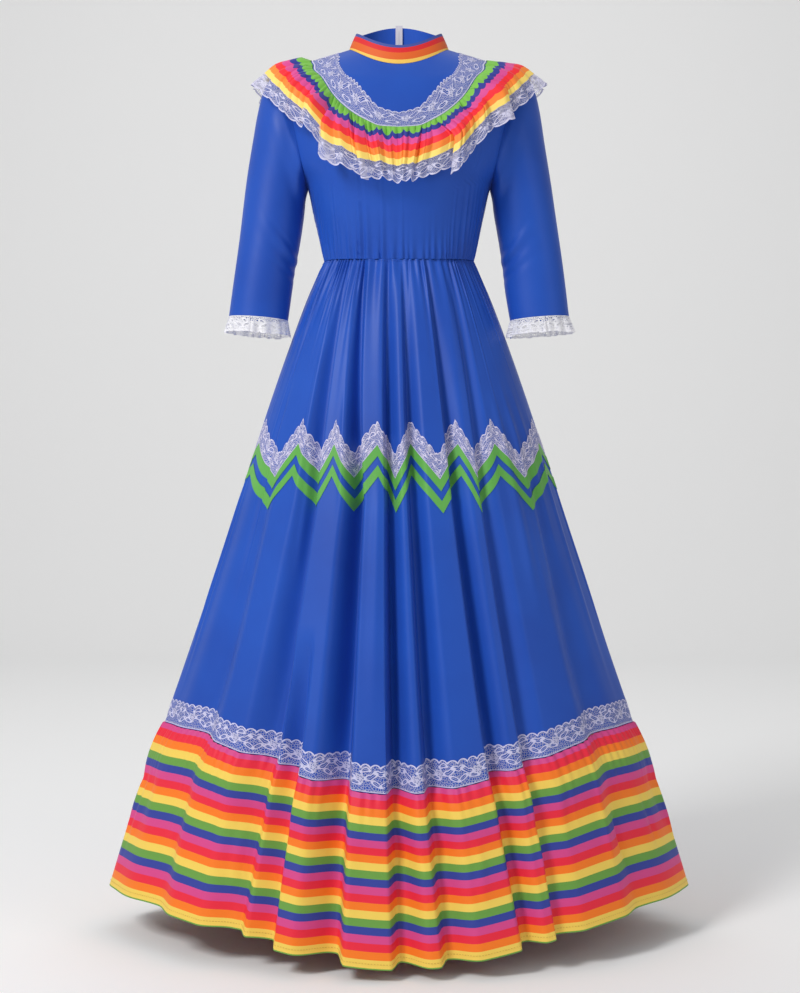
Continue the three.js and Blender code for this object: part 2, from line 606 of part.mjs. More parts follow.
function skirt(column, drop) {
  const size = readAll(SKIRT, "drop", drop);
  const angle = standing(column, drop);
  const peak = 2 + Math.max(drop - MIDDLE, 0) / PEAK_DROP;
  const p = oval(angle, size, 1, 1 + size.taper, peak);
  const away = vector(p.x / size.wide ** 2, p.y / size.front ** 2, 0).normalize();
  const depth = foldDepth(column, drop);
  p.z += FOLD_LIFT * depth;
  return p.addScaledVector(away, puff(drop) - depth);
}

const corners = [
  ...ZIGZAG_LOW.map((column) => ({ column, high: 0 })),
  ...ZIGZAG_HIGH.map((column) => ({ column, high: 1 })),
].sort((a, b) => a.column - b.column);
corners.push({ column: corners[0].column + 360, high: corners[0].high });
corners.unshift({ column: corners.at(-2).column - 360, high: corners.at(-2).high });

// How far up the zigzag stands at a column, from 0 at its low corners to 1 at its high ones
function zigzag(column) {
  let i = 0;
  while (i < corners.length - 2 && column > corners[i + 1].column) i++;
  const [a, b] = [corners[i], corners[i + 1]];
  return a.high + ((b.high - a.high) * (column - a.column)) / (b.column - a.column);
}

// Columns at every fold's bottom, at the foot and middle of its slopes, and at the corners of the
// zigzag
const START = -90;
const turn = (column) => ((((column - START) % 360) + 360) % 360) + START;
function pickColumns(groups) {
  const kept = [];
  for (const { columns, apart } of groups) {
    for (const column of columns.map(turn)) {
      const near = kept.some((other) => Math.abs(((column - other + 540) % 360) - 180) < apart);
      if (!near) kept.push(column);
    }
  }
  return kept.sort((a, b) => a - b);
}
const bottoms = FOLDS.map((fold) => fold.middle);
const feet = FOLDS.filter((fold) => fold.depth).flatMap((fold) => [
  fold.middle + fold.steep * fold.width * 0.7,
  fold.middle - fold.steep * fold.width * 0.8,
  fold.middle - fold.steep * fold.width * 1.6,
]);
const foldColumns = pickColumns([
  { columns: bottoms, apart: 0.1 },
  { columns: feet, apart: 1.6 },
]);
const allColumns = pickColumns([
  { columns: foldColumns, apart: 0.1 },
  { columns: corners.slice(1, -1).map((corner) => corner.column), apart: 0.7 },
]);
const gatherColumns = pickColumns([
  { columns: [-90, 90, 180], apart: 0.1 },
  { columns: range(2 * WAIST_GATHERS, (i) => START + (i * 180) / WAIST_GATHERS), apart: 0.1 },
]);

// A closed row round the skirt
function ring(columns, dropAt, gather = 0) {
  return columns.map((column) => {
    const p = skirt(column, dropAt(column));
    const wave = gather * Math.cos(rad(WAIST_GATHERS * (column - START)));
    p.addScaledVector(p.clone().setZ(0).normalize(), wave);
    return { u: (column - START) / 360, column, p, plane: null };
  });
}
const level = (drop) => () => drop;
const follow = (drop) => (column) => drop - ZIGZAG.height * zigzag(column);
const bandTop = ZIGZAG.top;
const zigzagDrops = {
  lace: follow(bandTop - ZIGZAG.lace),
  upperTop: follow(bandTop),
  upperFoot: follow(bandTop + ZIGZAG.band),
  lowerTop: follow(bandTop + ZIGZAG.band + ZIGZAG.gap),
  lowerFoot: follow(bandTop + 2 * ZIGZAG.band + ZIGZAG.gap),
};
const skirtRows = [
  ring(gatherColumns, level(SEAM / 2), 2),
  ring(gatherColumns, level(22), 1.8),
  ring(foldColumns, level(75)),
  ring(foldColumns, level(ZIP_END)),
  ring(foldColumns, level(ZIP_END + 12)),
  ...Object.values(zigzagDrops).map((dropAt) => ring(allColumns, dropAt)),
  ring(foldColumns, level(520)),
  ring(foldColumns, level(630)),
  ring(foldColumns, level(FLOUNCE_SEAM - SKIRT_LACE)),
  ring(foldColumns, level(FLOUNCE_SEAM - SEAM / 2)),
];
const flounceDrops = [FLOUNCE_SEAM + SEAM / 2, 806, 862, 950, HEM];
const flounceRows = flounceDrops.map((drop) => ring(foldColumns, level(drop)));
for (const row of [skirtRows[0], skirtRows.at(-1), flounceRows[0]])
  for (const point of row) point.plane = vector(0, 0, 1);

// A panel cut from the closed rows between two columns, kept clear of its neighbours at both edges
function cutPanel(rows, from, to, edges) {
  return rows.map((row) => {
    const span = row.filter((point) => point.column >= from - 1e-6 && point.column <= to + 1e-6);
    if (to > 269) span.push({ ...row[0], u: 1, column: 270 });
    return span.map((point, i) => {
      const copy = { ...point, p: point.p.clone() };
      if (i === 0) edges[0](copy);
      if (i === span.length - 1) edges[1](copy);
      return copy;
    });
  });
}
const sideEdge = (forward) => (point) => {
  point.p.y = forward * (SEAM / 2);
  point.plane = vector(0, 1, 0);
};
const zipEdge = (side) => (point) => {
  const drop = TORSO[0].zBack - point.p.z;
  point.p.x = side * (drop < ZIP_END + 3 ? ZIP_HALF : SEAM / 2);
  point.plane = vector(1, 0, 0);
};
const panels = {
  skirt_front: cutPanel(skirtRows, -90, 90, [sideEdge(-1), sideEdge(-1)]),
  skirt_back_left: cutPanel(skirtRows, 90, 180, [sideEdge(1), zipEdge(1)]),
  skirt_back_right: cutPanel(skirtRows, 180, 270, [zipEdge(-1), sideEdge(1)]),
  flounce_front: cutPanel(flounceRows, -90, 90, [sideEdge(-1), sideEdge(-1)]),
  flounce_back: cutPanel(flounceRows, 90, 270, [sideEdge(1), sideEdge(1)]),
};
for (const [name, rows] of Object.entries(panels))
  add(name, thicken(sheet(rows, false), CLOTH), name.startsWith("skirt") ? satin : stripes);

// Trims on the skirt are made from its own points, moved out
sheet(skirtRows, true);
function skirtTrim(name, rowAbove, rowBelow, paint, foot = 0) {
  const copy = (row) => row.map((point) => ({ ...point, p: point.p.clone() }));
  const above = copy(rowAbove);
  const below = copy(rowBelow);
  if (foot) below.forEach((point, i) => point.p.lerp(above[i].p, foot));
  const faces = sheet([above, below], true);
  above.forEach((point, i) => (point.out = rowAbove[i].out));
  below.forEach((point, i) => (point.out = rowBelow[i].out));
  add(name, thicken(faces, TRIM, SEAM + 0.1 + TRIM), paint);
}
const green = { color: "#6dae54", roughness: 0.5 };
skirtTrim("zigzag_lace", skirtRows[5], skirtRows[6], lace, 0.0125);
skirtTrim("zigzag_upper_band", skirtRows[6], skirtRows[7], green);
skirtTrim("zigzag_lower_band", skirtRows[8], skirtRows[9], green);
skirtTrim("flounce_lace", skirtRows.at(-2), skirtRows.at(-1), lace, 0.0125);

// Zip down the back, from the top of the collar to below the waist

// The line the tapes follow behind the cloth, deeper where the waist is gathered
const ZIP_BEHIND = { plain: 1.3, gathered: 4.1, waistZ: -339, near: 70, far: 120 };
function backAt(p) {
  const fromWaist = Math.abs(p.z - ZIP_BEHIND.waistZ);
  const plainShare = smooth(fromWaist, ZIP_BEHIND.near, ZIP_BEHIND.far);
  const behind = THREE.MathUtils.lerp(ZIP_BEHIND.gathered, ZIP_BEHIND.plain, plainShare);
  return { y: p.y - CLOTH - behind, z: p.z };
}
const zipLine = [
  { y: COLLAR_TOP.back - CLOTH - 2.05, z: COLLAR_TOP.zBack + 3 },
  ...[...BODICE_ROWS].reverse().map(({ rowOf }) => backAt(torso(180, rowOf(180)))),
  ...[22, 75, ZIP_END + 8].map((drop) => backAt(skirt(180, drop))),
];
for (const [name, side] of [["left", 1], ["right", -1]]) {
  const rows = zipLine.map(({ y, z }) => [
    { u: 0, p: vector((side * SEAM) / 2, y, z), plane: vector(1, 0, 0) },
    { u: 1, p: vector(side * TAPE_HALF, y, z), plane: null },
  ]);
  add(`zip_tape_${name}`, thicken(sheet(rows, false), TRIM), { color: "#f2f1f4", roughness: 0.7 });
}

// Slider near the top of the collar, with the pull hanging from its bridge. Both are drawn flat, +Y
// out of the back, and tilted with the collar.
const zipTilt = Math.atan2(TORSO.at(-1).back - COLLAR_TOP.back, COLLAR_TOP.zBack - TORSO.at(-1).zBack);
const sliderRise = (zipLine[0].z - SLIDER.z) / (zipLine[0].z - zipLine[1].z);
const sliderFace = vector(
  0,
  zipLine[0].y + (zipLine[1].y - zipLine[0].y) * sliderRise + (SEAM + SLIDER.thick) / Math.cos(zipTilt),
  SLIDER.z,
);
const { Manifold } = wasm;
const block = (low, high) => Manifold.cube(high.map((value, k) => value - low[k])).translate(low);
const { half, thick, low, high, bridge, leg, stand } = SLIDER;
const sliderBody = Manifold.union([
  block([-half, -thick, low], [half, 0, high]),
  block([-leg / 2, -0.1, bridge - leg], [leg / 2, stand, bridge]),
  block([-leg / 2, -0.1, -bridge], [leg / 2, stand, leg - bridge]),
  block([-leg / 2, stand - 1, -bridge], [leg / 2, stand, bridge]),
]);
const pullPlate = block([-PULL.half, 0.5, -PULL.length], [PULL.half, 1.5, 0.5]);
const pullBody = pullPlate.subtract(block([-PULL.eye, 0, -4], [PULL.eye, 2, -0.5]));
for (const [name, body] of [["zip_slider", sliderBody], ["zip_pull", pullBody]]) {
  const { vertProperties, triVerts } = body.getMesh();
  const geometry = new THREE.BufferGeometry();
  geometry.setAttribute("position", new THREE.Float32BufferAttribute(vertProperties, 3));
  geometry.setIndex([...triVerts]);
  geometry.rotateX(zipTilt).translate(...sliderFace.toArray());
  add(name, geometry, { color: "#f2f1f4", roughness: 0.4 });
}

export default group;
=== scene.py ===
import math

import bpy
import numpy as np
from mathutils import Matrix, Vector


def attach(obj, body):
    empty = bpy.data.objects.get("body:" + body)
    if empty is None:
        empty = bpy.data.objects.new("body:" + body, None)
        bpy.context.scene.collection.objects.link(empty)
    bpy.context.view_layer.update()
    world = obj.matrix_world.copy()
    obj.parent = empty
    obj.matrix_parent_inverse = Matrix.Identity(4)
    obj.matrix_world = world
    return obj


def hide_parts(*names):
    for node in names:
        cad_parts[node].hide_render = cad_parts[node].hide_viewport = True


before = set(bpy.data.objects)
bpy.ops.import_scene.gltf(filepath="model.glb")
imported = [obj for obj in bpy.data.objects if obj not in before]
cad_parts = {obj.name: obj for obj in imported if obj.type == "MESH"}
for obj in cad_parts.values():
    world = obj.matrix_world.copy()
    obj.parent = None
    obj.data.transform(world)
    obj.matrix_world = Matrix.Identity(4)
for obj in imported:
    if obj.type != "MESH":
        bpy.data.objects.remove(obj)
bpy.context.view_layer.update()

# Sizes in millimetres; meshes are made in metres. The dress faces -Y, +X is the wearer's left.
dress = {"cloth": 1.2, "seam": 0.3, "zipHalf": 4.2, "seed": 7}

# Level sections of the bodice from the waist (0) to the foot of the collar (11)
# row, zSide, zFront, zBack, halfWidth, front, back, roundness
torsoTable = {
    "row": [0, 1, 2, 3, 4, 5, 6, 7, 8, 9, 10, 11],
    "zSide": [-339, -300, -260, -222, -190, -150, -110, -72, -35, -22, -10, 0],
    "zFront": [-346, -304, -262, -215, -182, -148, -116, -88, -66, -56, -46, -36],
    "zBack": [-336, -298, -258, -215, -178, -138, -98, -62, -34, -16, 0, 16],
    "halfWidth": [119, 128, 137, 146, 166, 176, 184, 189, 187, 150, 112, 80],
    "front": [88, 101, 116, 124, 124, 118, 108, 96, 84, 77, 69, 60],
    "back": [78, 86, 94, 102, 107, 109, 107, 100, 88, 80, 72, 63],
    "roundness": [2.1, 2.1, 2.15, 2.3, 2.4, 2.5, 2.5, 2.4, 2.1, 2, 2, 2],
}
collarTop = {"zSide": 26, "zFront": -4.5, "zBack": 52, "halfWidth": 69, "front": 52, "back": 55,
             "roundness": 2}
armhole = {"tipX": 187, "tipZ": -35, "underarmX": 146, "underarmZ": -222}

# Rows of the bodice where the ruffle is sewn on and where the flat lace ends
necklineTable = {
    "angle": [0, 6, 12, 17, 25, 33, 45, 60, 90, 120, 150, 180],
    "seam": [5, 5.06, 5.36, 5.68, 6.4, 7.3, 8.2, 8.85, 9.32, 8.85, 7.5, 6.9],
    "lace": [5.75, 6.05, 6.9, 7.5, 8.15, 8.75, 9.45, 10.1, 10.5, 9.8, 8.5, 7.8],
}
ruffleEdgeTable = {
    "angle": [0, 17, 25, 33, 45, 60, 90, 120, 140, 160, 180],
    "x": [0, 50, 92, 136, 172, 206, 227, 210, 170, 98, 8],
    "y": [-142, -140, -128, -104, -82, -50, 2, 54, 93, 122, 132],
    "z": [-238, -227, -203, -154, -122, -86, -60, -74, -102, -134, -150],
    "rise": [6, 7, 9, 13, 15, 14, 11, 14, 15, 11, 9],
}
sleeveTable = {
    "s": [0, 0.06, 0.14, 0.24, 0.38, 0.54, 0.7, 0.85, 1],
    "topX": [187, 203, 216, 225, 233, 244, 254, 262, 271],
    "topZ": [-35, -44, -66, -99, -147, -214, -291, -354, -427],
    "lowX": [146, 147.5, 149.5, 152, 156, 161, 166, 171, 177],
    "lowZ": [-222, -230, -243, -261, -289, -324, -361, -394, -434],
    "halfDepth": [58, 60, 60, 58, 54, 50, 46, 43, 41],
    "midY": [2, 2, 1, 0, -2, -4, -7, -10, -13],
}
skirtTable = {
    "drop": [0, 73, 237, 418, 574, 780, 913, 1056],
    "zSide": [-339, -406, -560, -733, -880, -1075, -1200, -1336],
    "halfWidth": [119, 149, 205, 260, 309, 376, 422, 464],
    "zFront": [-346, -414, -570, -740, -915, -1147, -1262, -1384],
    "front": [88, 108, 143, 179, 210, 255, 285, 318],
    "zBack": [-336, -403, -560, -731, -890, -1105, -1230, -1360],
    "back": [78, 96, 130, 166, 197, 240, 268, 300],
    "taper": [0.05, 0.1, 0.2, 0.3, 0.35, 0.4, 0.4, 0.4],
}
skirtPlan = {"middle": 400, "seam": 780, "hem": 1056, "zipEnd": 200, "peakDrop": 150, "foldLift": 0.12,
             "fullFold": 640}
# The main folds, a column for each: the valley's angle at waist, middle and hem, its depth at the hem, its
# width, the side of its steep lip, and the drop where it starts
foldTable = {
    "waist": [-90, -72, -54, -40, -32, -26.5, -7, 4, 20.5, 38.5, 54, 72,
              90, 112, 132, 150, 166, 180, 195, 211, 229, 249],
    "middle": [-90, -75, -58, -32.2, -26, -14.4, -3, 5, 20.5, 31.5, 60, 76,
               90, 111, 134, 152, 167, 180, 194, 209, 228, 250],
    "hem": [-90, -77, -56.5, -33.6, -25.5, -13.2, 1.2, 10, 24.6, 31, 55.3, 77,
            90, 110, 133, 153, 168, 180, 193, 208, 229, 251],
    "depth": [0, 5, 15, 26, 30, 40, 30, 26, 26, 17, 12, 5, 0, 18, 30, 36, 24, 0, 28, 38, 28, 18],
    "width": [8, 10, 9, 5, 4, 4.2, 3, 3.6, 3.8, 4.2, 9, 10, 8, 7, 6, 5, 4, 6, 4, 5, 6, 7],
    "steep": [1, 1, 1, 1, 1, 1, -1, -1, -1, -1, -1, -1, -1, 1, 1, 1, 1, 1, -1, -1, -1, -1],
    "start": [0, 300, 300, 0, 600, 0, 0, 0, 0, 0, 300, 300, 0, 60, 0, 0, 200, 0, 120, 0, 0, 60],
}
# a fold's two sides in shares of its width, and how its depth grows with the drop
foldLip = {"shift": 0.25, "gentle": 1.8, "sharp": 0.42, "soft": 0.95, "softFrom": 8, "growDrop": 160,
           "growth": 0.7, "extra": 0.3, "extraFrom": 900}
# small gathers under the waist and tucks under the flounce's seam: how many, how deep, and how far they reach
gathering = {"waist": 84, "waistDepth": 3.6, "waistShort": 14, "waistLong": 150, "atSeam": 0.55,
             "seamDrop": 14, "tucks": 150, "tuckDepth": 2.6, "tuckShort": 12, "tuckLong": 44, "puff": 7,
             "puffDrop": 90}
zigzagPlan = {
    "top": 366, "height": 57, "lace": 42, "band": 18.5, "gap": 15,
    "low": [-53.6, -30.5, -16.5, -1, 14.7, 29, 53, 103, 128, 148, 164, 180, 196, 212, 232, 257],
    "high": [-78, -42, -24, -6.7, 5, 23.5, 39.3, 78, 116, 138, 156, 172, 188, 204, 222, 244],
}


def rad(degrees):
    return np.deg2rad(degrees)


def smooth(x, low, high):
    t = np.clip((np.asarray(x, float) - low) / (high - low), 0, 1)
    return t * t * (3 - 2 * t)


def readColumn(table, key, column, place):
    # smooth reading of a table's column without overshoot
    xs = np.array(table[key], float)
    ys = np.array(table[column], float)
    slopes = np.diff(ys) / np.diff(xs)
    inner = np.zeros(len(xs))
    product = slopes[:-1] * slopes[1:]
    total = slopes[:-1] + slopes[1:]
    inner[1:-1] = np.where(product > 0, 2 * product / np.where(total == 0, 1, total), 0)
    inner[0], inner[-1] = slopes[0], slopes[-1]
    x = np.clip(np.asarray(place, float), xs[0], xs[-1])
    i = np.clip(np.searchsorted(xs, x, side="left") - 1, 0, len(xs) - 2)
    step = xs[i + 1] - xs[i]
    t = (x - xs[i]) / step
    return (ys[i] * (1 + 2 * t) * (1 - t) ** 2 + step * inner[i] * t * (1 - t) ** 2
            + ys[i + 1] * t * t * (3 - 2 * t) + step * inner[i + 1] * t * t * (t - 1))


def readAll(table, key, place):
    return {column: readColumn(table, key, column, place) for column in table if column != key}


def oval(angle, size, across, deep, peak=2):
    # a level section, higher or lower in front and behind than at the sides
    s, c = np.sin(rad(angle)), np.cos(rad(angle))
    depth = np.where(c > 0, size["front"], size["back"])
    zEnd = np.where(c > 0, size["zFront"], size["zBack"])
    x = size["halfWidth"] * np.sign(s) * np.abs(s) ** across
    y = -depth * np.sign(c) * np.abs(c) ** deep
    z = size["zSide"] + (zEnd - size["zSide"]) * np.abs(c) ** peak
    return np.stack(np.broadcast_arrays(x, y, z), -1)


def unit(v):
    return v / np.maximum(np.linalg.norm(v, axis=-1, keepdims=True), 1e-9)


def gridNormals(grid, closed, about=(0, 0)):
    # unit normals of a grid of points, turned away from the upright line through about
    if closed:
        across = np.roll(grid, -1, 1) - np.roll(grid, 1, 1)
    else:
        across = np.gradient(grid, axis=1)
    along = np.gradient(grid, axis=0)
    normals = unit(np.cross(across, along))
    away = grid[..., :2] - np.array(about)
    if np.sum(normals[..., 0] * away[..., 0] + normals[..., 1] * away[..., 1]) < 0:
        normals = -normals
    return normals


def lengthsAlong(grid, axis=0):
    # how far each point lies along its row or column, in mm
    steps = np.linalg.norm(np.diff(grid, axis=axis), axis=-1)
    start = np.zeros_like(np.take(steps, [0], axis=axis))
    return np.cumsum(np.concatenate([start, steps], axis=axis), axis=axis)


def clothMesh(name, grid, closed=False, wall=0.0, lift=0.0, about=(0, 0), uv=None, lined=False):
    # a sheet, or with a wall a thin closed shell, whose outer face lies lift outside the grid
    rows, columns = grid.shape[:2]
    normals = gridNormals(grid, closed, about)
    outer = (grid + normals * lift).reshape(-1, 3)
    if uv is None:
        middle = lengthsAlong(grid[rows // 2:rows // 2 + 1], 1)[0]
        around = np.append(middle, middle[-1] + np.linalg.norm(grid[rows // 2, 0] - grid[rows // 2, -1]))
        down = lengthsAlong(grid, 0)
        uv = (around, down)
    around, down = uv
    last = columns if closed else columns - 1
    r, c = np.meshgrid(np.arange(rows - 1), np.arange(last), indexing="ij")
    r, c = r.ravel(), c.ravel()
    n = (c + 1) % columns
    quads = np.stack([r * columns + c, (r + 1) * columns + c, (r + 1) * columns + n, r * columns + n], 1)
    corner = np.stack([np.stack([r + i, c + j], 1) for i, j in ((0, 0), (1, 0), (1, 1), (0, 1))], 1)
    a, b, d = outer[quads[0, 0]], outer[quads[0, 1]], outer[quads[0, 3]]
    flip = np.dot(np.cross(b - a, d - a), normals.reshape(-1, 3)[quads[0, 0]]) < 0
    if flip:
        quads, corner = quads[:, ::-1], corner[:, ::-1]
    points, faces, corners = [outer], [quads], [corner]
    if wall:
        base = rows * columns
        points.append((grid + normals * (lift - wall)).reshape(-1, 3))
        faces.append(quads[:, ::-1] + base)
        corners.append(corner[:, ::-1])
        edges = []
        for row, step in ((0, 1), (rows - 1, -1)):
            cs = np.arange(last)
            rim = np.stack([row * columns + cs, row * columns + (cs + 1) % columns], 1)
            rimUv = np.stack([np.stack([np.full(last, row), cs + k], 1) for k in (0, 1)], 1)
            edges.append((rim, rimUv, step))
        if not closed:
            for column, step in ((0, -1), (columns - 1, 1)):
                rs = np.arange(rows - 1)
                rim = np.stack([rs * columns + column, (rs + 1) * columns + column], 1)
                rimUv = np.stack([np.stack([rs + k, np.full(rows - 1, column)], 1) for k in (0, 1)], 1)
                edges.append((rim, rimUv, step))
        for rim, rimUv, step in edges:
            side = np.stack([rim[:, 0], rim[:, 1], rim[:, 1] + base, rim[:, 0] + base], 1)
            sideUv = np.stack([rimUv[:, 0], rimUv[:, 1], rimUv[:, 1], rimUv[:, 0]], 1)
            if (step < 0) != bool(flip):
                side, sideUv = side[:, ::-1], sideUv[:, ::-1]
            faces.append(side)
            corners.append(sideUv)
    points = np.concatenate(points) / 1000
    faces = np.concatenate(faces)
    corners = np.concatenate(corners).reshape(-1, 2)
    mesh = bpy.data.meshes.new(name)
    mesh.vertices.add(len(points))
    mesh.vertices.foreach_set("co", points.astype(np.float32).ravel())
    mesh.loops.add(faces.size)
    mesh.loops.foreach_set("vertex_index", faces.astype(np.int32).ravel())
    mesh.polygons.add(len(faces))
    mesh.polygons.foreach_set("loop_start", np.arange(0, faces.size, 4, dtype=np.int32))
    mesh.polygons.foreach_set("use_smooth", np.ones(len(faces), dtype=bool))
    if lined:
        inner = np.zeros(len(faces), dtype=np.int32)
        inner[len(quads):2 * len(quads)] = 1
        mesh.polygons.foreach_set("material_index", inner)
    layer = mesh.uv_layers.new(name="flat")
    u = around[corners[:, 1]]
    v = down[corners[:, 0]]
    if np.ndim(down) == 2:
        v = down[corners[:, 0], np.minimum(corners[:, 1], columns - 1)]
    layer.data.foreach_set("uv", (np.stack([u, v], 1) / 1000).astype(np.float32).ravel())
    mesh.update()
    mesh.validate()
    if wall:
        mesh.set_sharp_from_angle(angle=math.radians(70))
    piece = bpy.data.objects.new(name, mesh)
    bpy.context.scene.collection.objects.link(piece)
    return piece


# Forms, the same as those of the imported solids, with the finer fall of the cloth added
def torsoPoint(angle, row):
    size = readAll(torsoTable, "row", row)
    return oval(angle, size, 2 / size["roundness"], 2 / size["roundness"])


def seamRow(angle):
    return readColumn(necklineTable, "angle", "seam", np.abs(angle))


def laceRow(angle):
    return readColumn(necklineTable, "angle", "lace", np.abs(angle))


armRun = np.array([armhole["tipX"] - armhole["underarmX"], 0, armhole["tipZ"] - armhole["underarmZ"]], float)
armRun /= np.linalg.norm(armRun)


def armPlane(side):
    return np.array([side * armRun[2], 0, -armRun[0]])


def edgeAngle(rowOf, start):
    # where a row of the bodice meets the armhole, from the front (0) or the back (180)
    underarm = np.array([armhole["underarmX"], 0, armhole["underarmZ"]])

    def inside(angle):
        p = torsoPoint(angle, rowOf(angle))
        if p[2] <= armhole["underarmZ"] or p[2] >= armhole["tipZ"]:
            return True
        return np.dot(p - underarm, armPlane(1)) < -dress["seam"] / 2

    if inside(90.0):
        return 90.0
    near, far = float(start), 90.0
    for _ in range(40):
        middle = (near + far) / 2
        near, far = (middle, far) if inside(middle) else (near, middle)
    return near


# Irregular gathers: a comb of small tucks of uneven width, depth and length
def gatherComb(across, count, seed, uneven=0.35):
    # across runs 0..1; returns the tucks' wave (-1..1) and a slow random length factor (0..1)
    rng = np.random.default_rng(seed)
    steps = rng.uniform(1 - uneven, 1 + uneven, count)
    marks = np.concatenate([[0], np.cumsum(steps)]) / steps.sum()
    depth = rng.uniform(0.45, 1, count + 1)
    reach = rng.uniform(0, 1, count + 1)
    phase = np.interp(across, marks, np.arange(count + 1))
    wave = np.cos(2 * np.pi * phase)
    return wave * np.interp(phase, np.arange(count + 1), depth), np.interp(phase, np.arange(count + 1), reach)


foldMarks = {key: np.array([foldTable[key][-1] - 360, *foldTable[key], foldTable[key][0] + 360], float)
             for key in ("waist", "middle", "hem")}


def standing(column, drop):
    # the angle at which a column of cloth stands: the folds drift sideways on their way down
    waist = np.interp(column, foldMarks["middle"], foldMarks["waist"])
    hem = np.interp(column, foldMarks["middle"], foldMarks["hem"])
    middle, bottom = skirtPlan["middle"], skirtPlan["hem"]
    upper = waist + (column - waist) * drop / middle
    lower = column + (hem - column) * (drop - middle) / (bottom - middle)
    return np.where(drop < middle, upper, lower)


def foldDepth(column, drop):
    # a fold falls gently from one side and comes back up over a steep lip
    depth = np.zeros(np.broadcast(column, drop).shape)
    for k in range(len(foldTable["depth"])):
        wide, steep, start = (foldTable[key][k] for key in ("width", "steep", "start"))
        away = (column - foldTable["middle"][k] - foldLip["shift"] * wide * steep + 180) % 360 - 180
        lip = foldLip["sharp"] if wide < foldLip["softFrom"] else foldLip["soft"]
        reach = wide * np.where(away * steep > 0, lip, foldLip["gentle"])
        full = max(skirtPlan["fullFold"], start + foldLip["growDrop"])
        grown = np.clip((drop - start) / (full - start), 0, 1) ** foldLip["growth"]
        bump = np.where(np.abs(away) < reach, 0.5 * (1 + np.cos(np.pi * away / reach)), 0)
        depth = depth + foldTable["depth"][k] * grown * bump
    return depth * (1 + foldLip["extra"] * (1 - smooth(drop, skirtPlan["fullFold"], foldLip["extraFrom"])))


def softCreases(column, drop, low, high, count, depth, seed):
    # shallow troughs and ridges of uneven length, depth and spacing
    rng = np.random.default_rng(seed)
    total = np.zeros(np.broadcast(column, drop).shape)
    for k in range(count):
        place = -90 + 360 * (k + rng.uniform(0.1, 0.9)) / count
        start = rng.uniform(low, low + 0.4 * (high - low))
        end = rng.uniform(low + 0.55 * (high - low), high)
        width = rng.uniform(1.1, 2.6)
        lean = rng.uniform(-1.5, 1.5)
        size = depth * rng.uniform(0.35, 1) * rng.choice([-1, 1], p=[0.4, 0.6])
        t = (drop - start) / (end - start)
        away = (column - place - lean * np.clip(t, 0, 1) + 180) % 360 - 180
        total += size * np.exp(-(away / width) ** 2) * smooth(t, 0, 0.3) * (1 - smooth(t, 0.6, 1))
    return total


def puff(drop):
    # the flounce's cloth stands out a little under its seam
    t = np.clip((drop - skirtPlan["seam"]) / gathering["puffDrop"], 0, 1)
    return np.where(drop < skirtPlan["seam"], 0, gathering["puff"] * np.sin(np.pi * t) ** 0.7)


def skirtPoint(column, drop):
    column, drop = np.broadcast_arrays(np.asarray(column, float), np.asarray(drop, float))
    size = readAll(skirtTable, "drop", drop)
    peak = 2 + np.maximum(drop - skirtPlan["middle"], 0) / skirtPlan["peakDrop"]
    p = oval(standing(column, drop), size, 1, 1 + size["taper"], peak)
    away = unit(np.stack([p[..., 0] / size["halfWidth"] ** 2, p[..., 1] / size["front"] ** 2, 0 * drop], -1))
    across = (column + 90) / 360
    wave, reach = gatherComb(across % 1, gathering["waist"], 11, 0.6)
    held = gathering["atSeam"] + (1 - gathering["atSeam"]) * smooth(drop, 0, gathering["seamDrop"])
    fade = np.exp(-drop / (gathering["waistShort"] + gathering["waistLong"] * reach ** 2.5))
    gathers = gathering["waistDepth"] * held * wave * fade * (drop < skirtPlan["seam"])
    wave, reach = gatherComb(across % 1, gathering["tucks"], 12)
    under = drop - skirtPlan["seam"]
    fade = np.exp(-under / (gathering["tuckShort"] + gathering["tuckLong"] * reach ** 2))
    tucks = np.where(under >= 0, gathering["tuckDepth"] * wave * fade, 0)
    sewn = -1.5 * np.exp(-((under + 6) / 14) ** 2)
    fine = softCreases(column, drop, 60, 760, 34, 4.5, 13) + softCreases(column, drop, 790, 1056, 40, 4.5, 14)
    depth = foldDepth(column, drop)
    p[..., 2] += skirtPlan["foldLift"] * depth
    lift = puff(drop) - depth + gathers + tucks + fine + sewn * (under < 0)
    return p + away * lift[..., None]


def zigzagAt(column):
    marks = sorted([(c, 0) for c in zigzagPlan["low"]] + [(c, 1) for c in zigzagPlan["high"]])
    marks = [(marks[-1][0] - 360, marks[-1][1]), *marks, (marks[0][0] + 360, marks[0][1])]
    return np.interp(column, [m[0] for m in marks], [m[1] for m in marks])


def withMarks(low, high, count, marks):
    # evenly spaced columns that also pass through every mark
    places = np.linspace(low, high, count)
    step = (high - low) / (count - 1)
    for mark in marks:
        if low < mark < high:
            k = np.argmin(np.abs(places - mark))
            if 0 < k < count - 1 and abs(places[k] - mark) < step:
                places[k] = mark
    return np.sort(places)


zigzagCorners = zigzagPlan["low"] + zigzagPlan["high"]

# Colours and materials


def linearColor(code):
    channels = [int(code[k:k + 2], 16) / 255 for k in (1, 3, 5)]
    return (*[c / 12.92 if c <= 0.04045 else ((c + 0.055) / 1.055) ** 2.4 for c in channels], 1)


def addNode(tree, kind, settings=None):
    # one node: its settings by attribute or input; another node's output given for an input is linked to it
    node = tree.nodes.new(kind)
    for key, value in (settings or {}).items():
        if isinstance(key, str) and key not in node.inputs:
            setattr(node, key, value)
        elif isinstance(value, bpy.types.NodeSocket):
            tree.links.new(value, node.inputs[key])
        else:
            node.inputs[key].default_value = value
    return node


